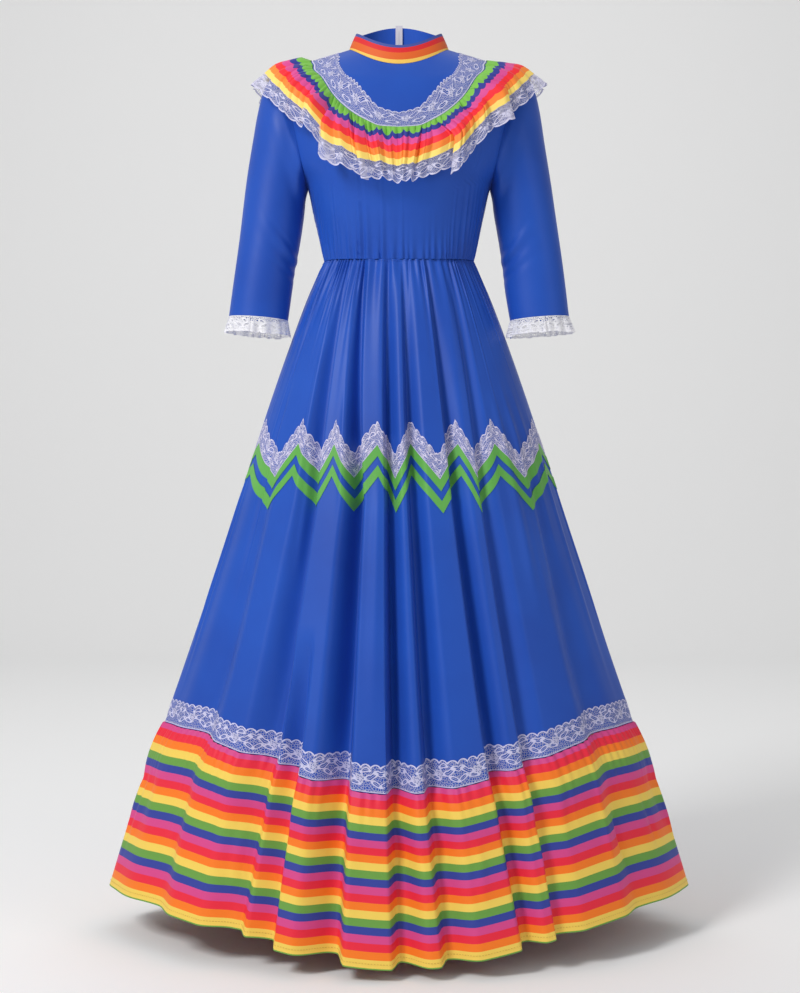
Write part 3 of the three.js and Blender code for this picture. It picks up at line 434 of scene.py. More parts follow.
def addSteps(tree, made, steps):
    # a pattern's arithmetic: rows of name, operation and values, each value a number or an earlier row's name
    for name, operation, *values in steps:
        inputs = {k: made.get(value, value) for k, value in enumerate(values)}
        made[name] = addNode(tree, "ShaderNodeMath", {"operation": operation, **inputs}).outputs[0]
    return made[name]


def newMaterial(name):
    material = bpy.data.materials.new(name)
    material.use_nodes = True
    material.node_tree.nodes.clear()
    return material, material.node_tree


def dressSurface(tree, settings):
    # the end of a material: its surface, and the output
    shader = addNode(tree, "ShaderNodeBsdfPrincipled", settings)
    addNode(tree, "ShaderNodeOutputMaterial", {"Surface": shader.outputs["BSDF"]})


satin = {"blue": "#2155bb", "deep": "#1e4aab", "roughness": 0.46, "sheen": 0.05, "gloss": 0.25,
         "threadMm": 0.9, "threadRun": 90, "bumpMm": 0.2, "bump": 0.25}


def weaveBump(tree, uv):
    # satin threads run down the cloth, drawn coarser than real so that they show
    mapped = addNode(tree, "ShaderNodeMapping", {"Scale": (1000 / satin["threadMm"], satin["threadRun"], 1),
                                                 "Vector": uv})
    grain = addNode(tree, "ShaderNodeTexNoise", {"Scale": 1.0, "Detail": 2.0, "Roughness": 0.5,
                                                 "Vector": mapped.outputs["Vector"]})
    bump = addNode(tree, "ShaderNodeBump", {"Strength": satin["bump"], "Distance": satin["bumpMm"] / 1000,
                                            "Height": grain.outputs["Fac"]})
    return bump.outputs["Normal"]


def satinMaterial(name, color, deep, roughness, sheen):
    # polyester satin, woven and calendered: smooth with a broad soft gloss, faintly cloudy in colour
    material, tree = newMaterial(name)
    place = addNode(tree, "ShaderNodeTexCoord").outputs["Object"]
    uv = addNode(tree, "ShaderNodeUVMap", {"uv_map": "flat"}).outputs["UV"]
    cloud = addNode(tree, "ShaderNodeTexNoise", {"Scale": 6.0, "Detail": 3.0, "Vector": place})
    ramp = addNode(tree, "ShaderNodeValToRGB", {"Fac": cloud.outputs["Fac"]})
    for element, position, shade in zip(ramp.color_ramp.elements, (0.3, 0.7), (deep, color)):
        element.position, element.color = position, linearColor(shade)
    dressSurface(tree, {"Roughness": roughness, "Sheen Weight": sheen, "Sheen Roughness": 0.4,
                        "Specular IOR Level": satin["gloss"], "Base Color": ramp.outputs["Color"],
                        "Normal": weaveBump(tree, uv)})
    return material


def stripedMaterial(name, bands, repeat):
    # printed satin stripes that follow the cloth: bands are (start share, colour) over one repeat in metres
    material, tree = newMaterial(name)
    uv = addNode(tree, "ShaderNodeUVMap", {"uv_map": "flat"}).outputs["UV"]
    down = addNode(tree, "ShaderNodeSeparateXYZ", {"Vector": uv}).outputs["Y"]
    share = addSteps(tree, {"down": down}, [
        ("repeats", "DIVIDE", "down", repeat), ("share", "FRACT", "repeats")])
    ramp = addNode(tree, "ShaderNodeValToRGB", {"Fac": share})
    ramp.color_ramp.interpolation = "CONSTANT"
    elements = ramp.color_ramp.elements
    while len(elements) < len(bands):
        elements.new(1.0)
    for element, (start, color) in zip(elements, bands):
        element.position, element.color = start, linearColor(color)
    dressSurface(tree, {"Roughness": 0.55, "Sheen Weight": satin["sheen"], "Sheen Roughness": 0.4,
                        "Specular IOR Level": satin["gloss"], "Base Color": ramp.outputs["Color"],
                        "Normal": weaveBump(tree, uv)})
    return material


# shares of a motif's size, how much of the cloth beneath each thing covers, and two sizes in mm
motifs = {"inner": 0.86, "vein": 0.09, "lobe": 0.18, "holes": 8.0, "holeRing": 0.52, "holeWide": 0.14,
          "opening": 0.7, "bloomCover": 0.8, "cordCover": 0.92, "holeCut": 0.6, "scallopMm": 2.2,
          "footMm": 1.4}


def laceMaterial(name, plan):
    # raschel lace, warp-knitted: a fine net, leaves outlined with thick thread, flowers and a corded edge
    material, tree = newMaterial(name)
    uv = addNode(tree, "ShaderNodeUVMap", {"uv_map": "flat"}).outputs["UV"]
    split = addNode(tree, "ShaderNodeSeparateXYZ", {"Vector": uv}).outputs
    # the real net's cells are under 1 mm, drawn coarser so that they show
    fine = 1000 / plan["cellMm"]
    cells = addNode(tree, "ShaderNodeMapping", {"Scale": (fine, fine, 1), "Vector": uv})
    web = addNode(tree, "ShaderNodeTexVoronoi", {"voronoi_dimensions": "2D", "feature": "DISTANCE_TO_EDGE",
                                                 "Scale": 1.0, "Vector": cells.outputs["Vector"]})
    made = {"x": split["X"], "y": split["Y"], "web": web.outputs["Distance"]}
    made.update({"open": 0.0, "blooms": 0.0, "holes": 0.0})
    pitch, width, cord = plan["pitchMm"], plan["widthMm"], plan["cordMm"]
    # a corded edge that follows the scallops, and a straight cord along the foot
    addSteps(tree, made, [
        ("u", "MULTIPLY", "x", 1000.0), ("v", "MULTIPLY", "y", 1000.0),
        ("wave", "MULTIPLY", "u", math.pi / plan["scallopMm"]), ("wave", "SINE", "wave"),
        ("wave", "ABSOLUTE", "wave"),
        ("wave", "MULTIPLY_ADD", "wave", motifs["scallopMm"], -motifs["scallopMm"]),
        ("rise", "ADD", "v", "wave"),
        ("lines", "COMPARE", "rise", 0.0, 2 * cord), ("foot", "GREATER_THAN", "v", width - motifs["footMm"]),
        ("lines", "MAXIMUM", "lines", "foot")])

    def placeMotif(shift, height, tilt, long, high):
        # a point's place about the nearest motif, whose outline is 1 from its middle
        addSteps(tree, made, [
            ("across", "ADD", "u", (shift - 0.5) * pitch),
            ("across", "WRAP", "across", pitch / 2, -pitch / 2)])
        flat = addNode(tree, "ShaderNodeCombineXYZ", {"X": made["across"], "Y": made["v"]})
        place = addNode(tree, "ShaderNodeMapping", {
            "vector_type": "TEXTURE", "Location": (0, height * width, 0), "Rotation": (0, 0, tilt),
            "Scale": (long, high, 1), "Vector": flat.outputs["Vector"]}).outputs["Vector"]
        ends = addNode(tree, "ShaderNodeSeparateXYZ", {"Vector": place}).outputs
        far = addNode(tree, "ShaderNodeVectorMath", {"operation": "LENGTH", 0: place})
        made.update({"long": ends["X"], "high": ends["Y"], "far": far.outputs["Value"]})

    for shift, height, tilt, long, high in plan["leaves"]:
        placeMotif(shift, height, tilt, long, high)
        addSteps(tree, made, [
            ("inside", "LESS_THAN", "far", motifs["inner"]), ("outline", "COMPARE", "far", 1.0, cord / high),
            ("vein", "COMPARE", "high", 0.0, motifs["vein"]), ("vein", "MULTIPLY", "inside", "vein"),
            ("lines", "MAXIMUM", "lines", "outline"), ("lines", "MAXIMUM", "lines", "vein"),
            ("open", "MAXIMUM", "open", "inside")])
    for shift, height, radius, petals in plan["flowers"]:
        placeMotif(shift, height, 0.0, radius, radius)
        # lobed petals, with a ring of small holes round the heart
        addSteps(tree, made, [
            ("turn", "ARCTAN2", "high", "long"), ("lobes", "MULTIPLY", "turn", petals),
            ("lobes", "COSINE", "lobes"),
            ("lobes", "MULTIPLY_ADD", "lobes", motifs["lobe"], 1 - motifs["lobe"]),
            ("ratio", "DIVIDE", "far", "lobes"),
            ("bloom", "LESS_THAN", "ratio", 1.0), ("blooms", "MAXIMUM", "blooms", "bloom"),
            ("dots", "MULTIPLY", "turn", motifs["holes"]), ("dots", "COSINE", "dots"),
            ("dots", "GREATER_THAN", "dots", 0.0),
            ("ring", "COMPARE", "ratio", motifs["holeRing"], motifs["holeWide"]),
            ("ring", "MULTIPLY", "ring", "dots"), ("holes", "MAXIMUM", "holes", "ring")])
    alpha = addSteps(tree, made, [
        ("net", "LESS_THAN", "web", plan["thread"]), ("net", "MULTIPLY", "net", plan["cover"]),
        ("thin", "MULTIPLY_ADD", "open", -motifs["opening"], 1.0), ("net", "MULTIPLY", "net", "thin"),
        ("blooms", "MULTIPLY", "blooms", motifs["bloomCover"]),
        ("lines", "MULTIPLY", "lines", motifs["cordCover"]),
        ("solid", "MAXIMUM", "blooms", "lines"), ("alpha", "MAXIMUM", "net", "solid"),
        ("alpha", "MULTIPLY_ADD", "holes", -motifs["holeCut"], "alpha")])
    bump = addNode(tree, "ShaderNodeBump", {"Strength": 0.5, "Distance": 0.0006, "Height": made["solid"]})
    dressSurface(tree, {"Base Color": linearColor(plan["color"]), "Roughness": 0.8,
                        "Specular IOR Level": 0.25, "Normal": bump.outputs["Normal"], "Alpha": alpha})
    return material


stripeHex = {"pink": "#d6488a", "red": "#ea2a40", "orange": "#f87c22", "yellow": "#f2cf5c",
             "green": "#6a9e46", "navy": "#35429a"}
# 22 printed stripes fill the flounce; the turned hem shows a thin green edge
flounceStripes = {"widthMm": 12.65, "startMm": 4.5}
blueSatin = satinMaterial("BlueCalenderedSatin", satin["blue"], satin["deep"], satin["roughness"],
                          satin["sheen"])
# the collar's lining: the blue satin painted lighter, as painted light standing in for the light that falls
# into the collar
paintedLightLiningSatin = satinMaterial("BlueSatinLiningPaintedLight", "#2f66dc", "#2b5ccb", 0.5, 0.05)
greenBand = satinMaterial("GreenSatinBand", "#66b054", "#5aa347", 0.5, 0.1)
flounceSatin = stripedMaterial("StripedFlounceSatin",
                               [(k / 6, color) for k, color in enumerate(stripeHex.values())],
                               6 * flounceStripes["widthMm"] / 1000)
ruffleSatin = stripedMaterial("StripedRuffleSatin", [
    (0.0, "#7cc04e"), (0.19, "#343c94"), (0.325, "#dc4f96"), (0.5, "#f8323c"), (0.675, "#fa8a38"),
    (0.84, "#fbdc74")], 0.0612)
collarSatin = stripedMaterial("StripedCollarSatin", [
    (0.0, "#46549c"), (0.13, "#dc2c30"), (0.36, "#e2652a"), (0.69, "#f3c45c")], 0.037)
# leaves: place along the repeat, height, tilt, half length and half width
# flowers: place, height, radius and petals
sprays = [(0.27, 0.42, 0.45, 7.5, 2.6), (0.73, 0.42, -0.45, 7.5, 2.6), (0.4, 0.68, -0.5, 6, 2.2),
          (0.6, 0.68, 0.5, 6, 2.2), (0.5, 0.28, 0.0, 7, 2.4), (0.12, 0.66, 0.2, 5.5, 2.1),
          (0.88, 0.2, -0.2, 5.5, 2)]
vines = [(0.3, 0.36, 0.5, 8.5, 2.6), (0.7, 0.36, -0.5, 8.5, 2.6), (0.5, 0.72, 0.0, 9, 2.2)]
lacePlans = {
    "yoke": {"color": "#d5d4f0", "widthMm": 30, "pitchMm": 41, "scallopMm": 10.25, "cellMm": 2.2,
             "thread": 0.14, "cordMm": 0.5, "cover": 0.66, "leaves": vines, "flowers": [(0.0, 0.5, 6.4, 5)]},
    "edging": {"color": "#d6d4ec", "widthMm": 27, "pitchMm": 40, "scallopMm": 20, "cellMm": 2.1,
               "thread": 0.15, "cordMm": 0.6, "cover": 0.66, "leaves": vines,
               "flowers": [(0.0, 0.42, 5.6, 5)]},
    "zigzag": {"color": "#e0dcf4", "widthMm": 42, "pitchMm": 34, "scallopMm": 17, "cellMm": 3.0,
               "thread": 0.15, "cordMm": 0.75, "cover": 0.72, "leaves": vines,
               "flowers": [(0.0, 0.2, 6.2, 6), (0.5, 0.9, 5.5, 5)]},
    "flounce": {"color": "#d3d2f0", "widthMm": 40, "pitchMm": 62, "scallopMm": 15.5, "cellMm": 3.6,
                "thread": 0.12, "cordMm": 0.75, "cover": 0.6,
                "leaves": [(a, b, c, 1.35 * d, 1.35 * e) for a, b, c, d, e in sprays],
                "flowers": [(0.0, 0.5, 8.5, 5)]},
    "cuff": {"color": "#f4f3f8", "widthMm": 27, "pitchMm": 30, "scallopMm": 10, "cellMm": 3.0, "thread": 0.24,
             "cordMm": 0.6, "cover": 0.85, "leaves": sprays[:3], "flowers": [(0.0, 0.5, 5, 5)]},
}
laces = {key: laceMaterial(f"RaschelLace{key.capitalize()}", plan) for key, plan in lacePlans.items()}
print("materials made")


def finishPiece(piece, material, lining=None):
    # dress a finished mesh: its cloth, the body it hangs on, and the solid it stands for, which it hides
    node = piece.name.removesuffix("_cloth")
    if lining:
        places = [face.material_index for face in piece.data.polygons]
        piece.data.materials.append(material)
        piece.data.materials.append(lining)
        piece.data.polygons.foreach_set("material_index", places)
    else:
        piece.data.materials.append(material)
    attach(piece, "dress")
    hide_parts(node)


# Bodice: yoke, chest and back, with the gathers that fan up from the waist
bodice = {"gathers": 36, "gatherDepth": 3.4, "shortest": 0.05, "longest": 0.3, "lean": 26,
          "frontColumns": 240, "backColumns": 130}
# soft pulls that fan out from the waist and the underarm: depth, closeness, slant, shift, height and reach
bodicePulls = [(1.6, 7, 40, 0, 0.2, 0.16), (1.4, 4.3, 160, 30, 0.55, 0.2)]
# the armhole's lowest and highest share of the way up to the ruffle's seam
armholeShares = (0.3215, 0.859)


def bodiceRow(share):
    # a row by its share of the height: the ruffle's seam at 1, the lace's edge at 2 and the neck at 3
    def rowAt(angle):
        if share <= 1:
            return share * seamRow(angle)
        seam, lace = seamRow(angle), laceRow(angle)
        return seam + (lace - seam) * (share - 1) if share <= 2 else lace + (11 - lace) * (share - 2)
    return rowAt


def bodiceGrid(side):
    low, high = armholeShares
    shares = np.concatenate([np.linspace(0, low, 30), np.linspace(low, high, 30)[1:],
                             np.linspace(high, 1, 8)[1:],
                             np.linspace(1, 2, 7)[1:], np.linspace(2, 3, 11)[1:]])
    rows = []
    for share in shares:
        rowOf = bodiceRow(share)
        edge = edgeAngle(rowOf, 0 if side == 0 else 180)
        if side == 0:
            angles = np.linspace(-edge, edge, bodice["frontColumns"])
        else:
            angles = np.linspace(edge, 180, bodice["backColumns"])
        p = torsoPoint(angles, rowOf(angles))
        lean = angles + bodice["lean"] * share * np.sin(rad(angles))
        wave, reach = gatherComb(((lean + 90) / 360) % 1, 2 * bodice["gathers"], 21 + side, 0.6)
        fade = np.exp(-share / (bodice["shortest"] + bodice["longest"] * reach ** 2.5))
        lift = bodice["gatherDepth"] * wave * fade * (0.6 + 0.4 * smooth(share, 0, 0.04))
        for deep, close, slant, shift, height, far in bodicePulls:
            strength = 0.6 * deep * math.exp(-((share - height) / far) ** 2)
            lift = lift + strength * np.sin(rad(angles * close + slant * share + shift))
        lift *= smooth(edge - np.abs(angles) if side == 0 else angles - edge, 0, 6)
        if side:
            lift *= smooth(180 - angles, 0, 3)
        away = np.stack([np.sin(rad(angles)), -np.cos(rad(angles)), 0 * angles], -1)
        p = p + away * lift[:, None]
        if side:
            if edge == 90.0:
                p[0, 1] = dress["seam"] / 2
            p[-1, 0] = dress["zipHalf"]
            p[:, 0] *= side
        elif edge == 90.0:
            p[0, 1] = p[-1, 1] = -dress["seam"] / 2
        rows.append(p)
    grid = np.array(rows)
    grid[0, :, 2] += dress["seam"] / 2
    grid[-1, :, 2] -= dress["seam"] / 2
    return grid


for name, side in (("bodice_front_cloth", 0), ("bodice_back_left_cloth", 1), ("bodice_back_right_cloth", -1)):
    piece = clothMesh(name, bodiceGrid(side), wall=dress["cloth"])
    finishPiece(piece, blueSatin)
print("bodice made")

# Stand collar
collarAngles = np.linspace(-180, 180, 181)
collarRows = []
for t in np.linspace(1, 0, 14):
    size = {key: readColumn(torsoTable, "row", key, 11) * (1 - t) + collarTop[key] * t for key in collarTop}
    p = oval(collarAngles, size, 1, 1)
    bulge = 0.5 * math.sin(math.pi * t)
    p += unit(p * [1, 1, 0]) * bulge
    p[0, 0], p[-1, 0] = -dress["zipHalf"], dress["zipHalf"]
    if t == 0:
        p[:, 2] += dress["seam"]
    collarRows.append(p)
collar = clothMesh("collar_cloth", np.array(collarRows), wall=dress["cloth"], lined=True)
finishPiece(collar, collarSatin, paintedLightLiningSatin)
print("collar made")

# Ruffle, its lace, and the flat lace of the yoke
ruffle = {"stripes": 0.71, "headerGathers": 118, "columns": 1650, "rows": 20, "laceRows": 10, "soften": 2.2,
          "stripesMm": 61.0, "laceScallopMm": 20.0, "lift": 2.0, "puckerDepth": 13, "foldDepth": 1.45,
          "sag": 1.3, "slideMm": 9}
# The ruffle's cloth from the middle of the front to the wearer's left or right: angle at the seam, angle at
# the free edge, how far it stands out there and how far it hangs down, in mm. Where the edge's angle runs back,
# one fold lies over another.
ruffleRight = [
    (-1, -1, 2, 1), (-3.3, -3.3, 6, 0), (-5.5, -5.5, 3, 0), (-8, -7.8, 9, -2), (-10.5, -10.5, 3, 0),
    (-13, -13, 7, 2), (-15.2, -16.2, 12, 5), (-16, -18, 9, 7), (-16.6, -16.6, 2, 4), (-17.2, -15.2, 1, 3),
    (-18, -17.5, 5, 1), (-20, -20, 7, 2), (-22, -22.3, 12, 0), (-24, -24.5, 8, 6), (-25.6, -27, 15, 11),
    (-26.4, -29, 10, 12), (-27, -27, 3, 9), (-27.6, -25.2, 2, 5), (-28.2, -27, 8, -1), (-29, -30.2, 17, -7),
    (-31, -33.2, 16, -7), (-33.2, -34.6, 5, -2), (-35, -36.5, 2, 2), (-39, -41, 6, 1), (-43, -45, 8, 0),
    (-50, -51, 3, 0), (-58, -58, 9, 0), (-66, -66, 3, 0), (-74, -75, 9, 0), (-82, -84, 2, 0),
    (-90, -90, 7, 0),
]
ruffleLeft = [
    (1.3, 1.5, 7, 0), (3.5, 3.6, 3, 0), (5.6, 5.8, 9, -1), (7.5, 7.4, 1, 2), (9.3, 10, 8, 0),
    (11.5, 13.5, 4, 0), (13, 17.5, 6, -1), (13.8, 21, 4, -1), (14.3, 24.4, 1, 2), (14.8, 23.4, 3, 6),
    (15.4, 21.2, 9, 9), (17, 23, 13, 8), (20, 26, 7, 3), (24, 29, 3, 0), (26.5, 31.5, 9, -1),
    (28.5, 34, 4, 0), (30, 36.5, 10, 3), (31, 39, 15, 6), (32, 42, 13, 7), (32.6, 40.6, 6, 3),
    (33, 37.6, 1, -2), (34, 40, 1, -4), (36, 44, 5, -3), (40, 47.5, 3, -1), (45, 52, 8, 0), (52, 57, 2, 0),
    (60, 63, 8, 0), (68, 70, 3, 0), (76, 77, 9, 0), (83, 84, 2, 0), (90, 90, 7, 0),
]
# and over the back, from the side to the zip, the same on both sides but for a small shift
ruffleBack = [
    (98, 98, 3, 0), (105, 106, 10, 0), (112, 113, 3, 0), (118, 121, 13, 5), (121, 124, 10, 6),
    (121.6, 122, 3, 3), (122.4, 119.5, 1, 1), (124, 123, 3, 0), (128, 128, 9, 0), (133, 133, 3, 0),
    (138, 138, 10, 1), (142, 143, 14, 6), (143.5, 145.5, 10, 8), (144, 143.5, 3, 4), (144.8, 141.6, 1, 2),
    (147, 146, 5, 0), (151, 150, 9, 0), (155, 154, 3, 1), (159, 159, 9, 2), (163, 163, 3, 0),
    (168, 168, 9, 0), (173, 174, 3, 0), (177, 177.5, 5, 0), (180, 180, 1, 0),
]


def ruffleBase(angle, t):
    # a point of the smooth ruffle, from its seam (t 0) to its free edge (1), and the way it faces
    around = np.abs(angle)
    side = np.where(angle < 0, -1.0, 1.0)
    foot = torsoPoint(angle, seamRow(angle))
    edge = readAll(ruffleEdgeTable, "angle", around)
    lean = 0.75 * np.sin(rad(around)) ** 2
    out = unit(np.stack([np.sin(rad(angle)), -np.cos(rad(angle)), lean], -1))
    foot = foot + out * ruffle["lift"]
    foot[..., 0] = np.where(around > 179.99, side * (dress["zipHalf"] + 1), foot[..., 0])
    free = np.stack([side * edge["x"], edge["y"], edge["z"]], -1)
    t = np.asarray(t)[..., None] if np.ndim(t) else t
    return foot + (free - foot) * t + out * (edge["rise"][..., None] * np.sin(np.pi * t ** 0.8)), out


def ruffleAngles(count):
    # angles at even steps of the ruffle's length, counted along its seam and its free edge together
    marks = np.linspace(-180, 180, 1441)
    length = 0
    for t in (0.0, 1.0):
        p, _ = ruffleBase(marks, t)
        length = length + lengthsAlong(p)
    return np.interp(np.linspace(0, length[-1], count), length, marks)


def ruffleCloth(count):
    # the plan above as one smooth line of cloth: its columns at even steps along the free edge
    rightBack = [(-max(seam - 1.5, 92), -max(edge - 1.5 if edge < 179 else edge, 92), out, down)
                 for seam, edge, out, down in ruffleBack[:-1]]
    rightBack.append((-180, -180, 1, 0))
    plan = np.array(rightBack[::-1] + ruffleRight[::-1] + ruffleLeft + ruffleBack, float)
    place, out = ruffleBase(plan[:, 1], ruffle["stripes"])
    place = place + out * plan[:, 2:3]
    place[:, 2] -= plan[:, 3]
    length = lengthsAlong(place)
    fine = np.linspace(0, length[-1], 6001)
    step = fine[1]
    reach = int(3 * ruffle["soften"] / step)
    kernel = np.exp(-0.5 * (np.arange(-reach, reach + 1) * step / ruffle["soften"]) ** 2)
    kernel /= kernel.sum()
    soft = []
    for k in range(4):
        line = np.interp(fine, length, plan[:, k])
        padded = np.concatenate([2 * line[0] - line[reach:0:-1], line, 2 * line[-1] - line[-2:-reach - 2:-1]])
        soft.append(np.convolve(padded, kernel, mode="valid"))
    along = np.linspace(0, length[-1], count)
    return along, [np.interp(along, fine, line) for line in soft]


ruffleAround, (seamAngle, freeAngle, standOut, hangDown) = ruffleCloth(ruffle["columns"])
seamAngle = np.maximum.accumulate(seamAngle)


def puckers(across, count, seed):
    # pinched gathers with sharp valleys; each has its own depth and its own reach down the cloth
    rng = np.random.default_rng(seed)
    steps = rng.uniform(0.65, 1.35, count)
    marks = np.concatenate([[0], np.cumsum(steps)]) / steps.sum()
    phase = np.interp(across, marks, np.arange(count + 1))
    k = np.minimum(phase.astype(int), count - 1)
    ridge = np.abs(np.sin(np.pi * phase)) ** 0.65
    depth = rng.uniform(0.5, 1, count)[k]
    reach = (0.16 + 0.6 * rng.uniform(0, 1, count) ** 1.8)[k]
    slide = np.interp(phase, np.arange(count + 1), rng.uniform(-1, 1, count + 1))
    return ridge * depth, reach, slide + 1.2 * (ridge - 0.6) * depth


def ruffleGrid(shares):
    # puckers are spaced along the seam, folds along the free edge
    seamLine, _ = ruffleBase(seamAngle, 0.0)
    seamLength = lengthsAlong(seamLine)
    ridge, reach, slide = puckers(seamLength / seamLength[-1], ruffle["headerGathers"], 31)
    rows = []
    for t in shares:
        grown = smooth(t, -0.06, 0.5)
        flare = 1 + 0.35 * max(t - ruffle["stripes"], 0) / (1 - ruffle["stripes"])
        angle = seamAngle + (freeAngle - seamAngle) * smooth(t, 0, 0.55)
        p, out = ruffleBase(angle, t)
        small = ruffle["puckerDepth"] * (ridge - 0.4) * np.exp(-t / reach) * min(1, 0.25 + t / 0.07)
        p = p + out * (small + ruffle["foldDepth"] * standOut * grown * flare)[:, None]
        p[:, 2] -= hangDown * grown * t * ruffle["sag"]
        p[:, 2] -= ruffle["slideMm"] * slide * math.exp(-t / 0.32) * min(1, t / 0.12)
        rows.append(p)
    return np.array(rows)


stripeShares = np.linspace(0, ruffle["stripes"], ruffle["rows"])
ruffleTop = ruffleGrid(stripeShares)
ruffleDown = np.linspace(0, ruffle["stripesMm"], ruffle["rows"])
neckRuffle = clothMesh("neck_ruffle_cloth", ruffleTop, wall=0.6, uv=(ruffleAround, ruffleDown))
finishPiece(neckRuffle, ruffleSatin)

# the lace ends in soft scallops
laceShares = np.linspace(ruffle["stripes"] - 0.012, 1, ruffle["laceRows"])
edging = ruffleGrid(laceShares)
scallop = np.abs(np.sin(np.pi * ruffleAround / ruffle["laceScallopMm"])) ** 0.6
edging[-1] += (edging[-1] - edging[-2]) * (1.1 * scallop[:, None] - 0.6)
laceDown = np.linspace(lacePlans["edging"]["widthMm"], 0, ruffle["laceRows"])
ruffleLace = clothMesh("ruffle_lace_cloth", edging, lift=-0.2, uv=(ruffleAround, laceDown))
finishPiece(ruffleLace, laces["edging"])

yokeAngles = np.clip(ruffleAngles(560), -179.2, 179.2)
foot, top = seamRow(yokeAngles), laceRow(yokeAngles)
yokeLine = torsoPoint(yokeAngles, foot)
yokeAround = lengthsAlong(yokeLine)
yokeScallop = 0.9 + 0.1 * np.abs(np.sin(np.pi * yokeAround / lacePlans["yoke"]["scallopMm"])) ** 0.7
yokeRows = [torsoPoint(yokeAngles, foot + (top - foot) * (0.01 + t * yokeScallop))
            for t in np.linspace(1, 0, 12)]
yokeDown = np.linspace(0, lacePlans["yoke"]["widthMm"], 12)
neckLace = clothMesh("neck_lace_cloth", np.array(yokeRows), lift=0.9, uv=(yokeAround, yokeDown))
finishPiece(neckLace, laces["yoke"])
print("ruffle and laces made")

# Sleeves with lace frills
sleeve = {"columns": 120, "rows": 90}
# elbow creases on the inner front: depth in mm, place along the sleeve, and width
elbowCreases = [(-3.2, 0.66, 0.03), (2.2, 0.61, 0.03), (-2.2, 0.73, 0.025), (-1.6, 0.57, 0.02)]
cuff = {"columns": 330, "aroundMm": 330, "longMm": 24, "gathers": 21, "scallopMm": 15.0, "scallopDeepMm": 3.5}


def sleeveFrame(s, side):
    size = readAll(sleeveTable, "s", s)
    top = np.array([side * size["topX"], size["midY"], size["topZ"]])
    low = np.array([side * size["lowX"], size["midY"], size["lowZ"]])
    return size, (top + low) / 2, (top - low) / 2


def armholeCurve(side, count):
    # the armhole as height round the sleeve: turn 0 at the shoulder tip, growing towards the front
    curve = []
    for start in (0, 180):
        for share in np.linspace(armholeShares[0] + 0.001, armholeShares[1] - 0.0005, 60):
            angle = edgeAngle(bodiceRow(share), start)
            curve.append(torsoPoint(side * angle, bodiceRow(share)(angle)))
    tip = np.array([side * armhole["tipX"], 0, armhole["tipZ"]])
    underarm = np.array([side * armhole["underarmX"], 0, armhole["underarmZ"]])
    front, back = curve[:60][::-1], curve[60:]
    line = np.array([tip, *front, underarm, *back, tip])
    size, centre, half = sleeveFrame(0, side)
    high = np.clip((line - centre) @ half / (half @ half), -1, 1)
    turns = np.arccos(high)
    turns[62:] = 2 * np.pi - turns[62:]
    turns[0], turns[61], turns[-1] = 0, np.pi, 2 * np.pi
    grid = np.linspace(0, 2 * np.pi, count, endpoint=False)
    order = np.argsort(turns)
    return grid, np.stack([np.interp(grid, turns[order], line[order, k]) for k in range(3)], -1)


def sleeveRing(s, side, turn):
    size, centre, half = sleeveFrame(s, side)
    ring = centre + half * np.cos(turn)[:, None]
    ring[:, 1] -= size["halfDepth"] * np.sin(turn)
    return ring


for name, side in (("left", 1), ("right", -1)):
    turn, start = armholeCurve(side, sleeve["columns"])
    first = sleeveRing(0, side, turn)
    rows = []
    for s in np.linspace(0, 1, sleeve["rows"]):
        p = sleeveRing(s, side, turn) + (start - first) * (1 - smooth(s, 0, 0.3))
        out = unit(p - p.mean(0))
        # with the creases, drag lines from the armhole and a soft roll in the cloth
        inner = np.exp(-((turn - 2.5) / 0.75) ** 2)
        creases = sum(deep * math.exp(-((s - place) / wide) ** 2) for deep, place, wide in elbowCreases)
        drag = 1.8 * np.sin(turn * 5 + 9 * s) * math.exp(-((s - 0.12) / 0.1) ** 2)
        roll = 1.5 * np.sin(2 * turn + 7 * s + side) * math.sin(math.pi * s)
        lift = (creases * inner + drag + roll) * smooth(s, 0.01, 0.06) * (1 - smooth(s, 0.95, 1))
        rows.append(p + out * lift[:, None])
    grid = np.array(rows)
    grid[0] += armPlane(side) * dress["seam"] / 2
    piece = clothMesh(f"sleeve_{name}_cloth", grid, closed=True, wall=dress["cloth"], about=(side * 205, 0))
    finishPiece(piece, blueSatin)
    size, centre, half = sleeveFrame(1, side)
    down = unit(np.array([side * half[2], 0, -side * half[0]]))
    turn = np.linspace(0, 2 * np.pi, cuff["columns"], endpoint=False)
    wave, reach = gatherComb(turn / (2 * np.pi), cuff["gathers"], 41 + side, 0.7)
    around = turn / (2 * np.pi) * cuff["aroundMm"]
    scallop = np.abs(np.sin(np.pi * around / cuff["scallopMm"])) ** 0.6 * cuff["scallopDeepMm"] * reach
    rows = []
    for t in np.linspace(0, 1, 9):
        edge = scallop if t == 1 else 0 * scallop
        grow = (4 * t + (0.5 + 5.5 * t * reach) * wave) / size["halfDepth"]
        p = centre + half * (np.cos(turn) * (1 + grow))[:, None]
        p[:, 1] -= size["halfDepth"] * np.sin(turn) * (1 + grow)
        p = p + down * (dress["seam"] + cuff["longMm"] * t + edge)[:, None]
        rows.append(p)
    piece = clothMesh(f"cuff_lace_{name}_cloth", np.array(rows), closed=True, about=tuple(centre[:2]),
                      uv=(np.append(around, cuff["aroundMm"]),
                          np.linspace(lacePlans["cuff"]["widthMm"], 0, 9)))
    finishPiece(piece, laces["cuff"])
print("sleeves made")

# Skirt and flounce
skirt = {"frontColumns": 420, "backColumns": 210}
upperDrops = np.concatenate([np.linspace(0.15, 120, 22), np.linspace(120, 200, 8)[1:],
                             np.linspace(212, 779.85, 34)])
lowerDrops = np.concatenate([np.linspace(780.15, 860, 14), np.linspace(860, 1056, 14)[1:]])
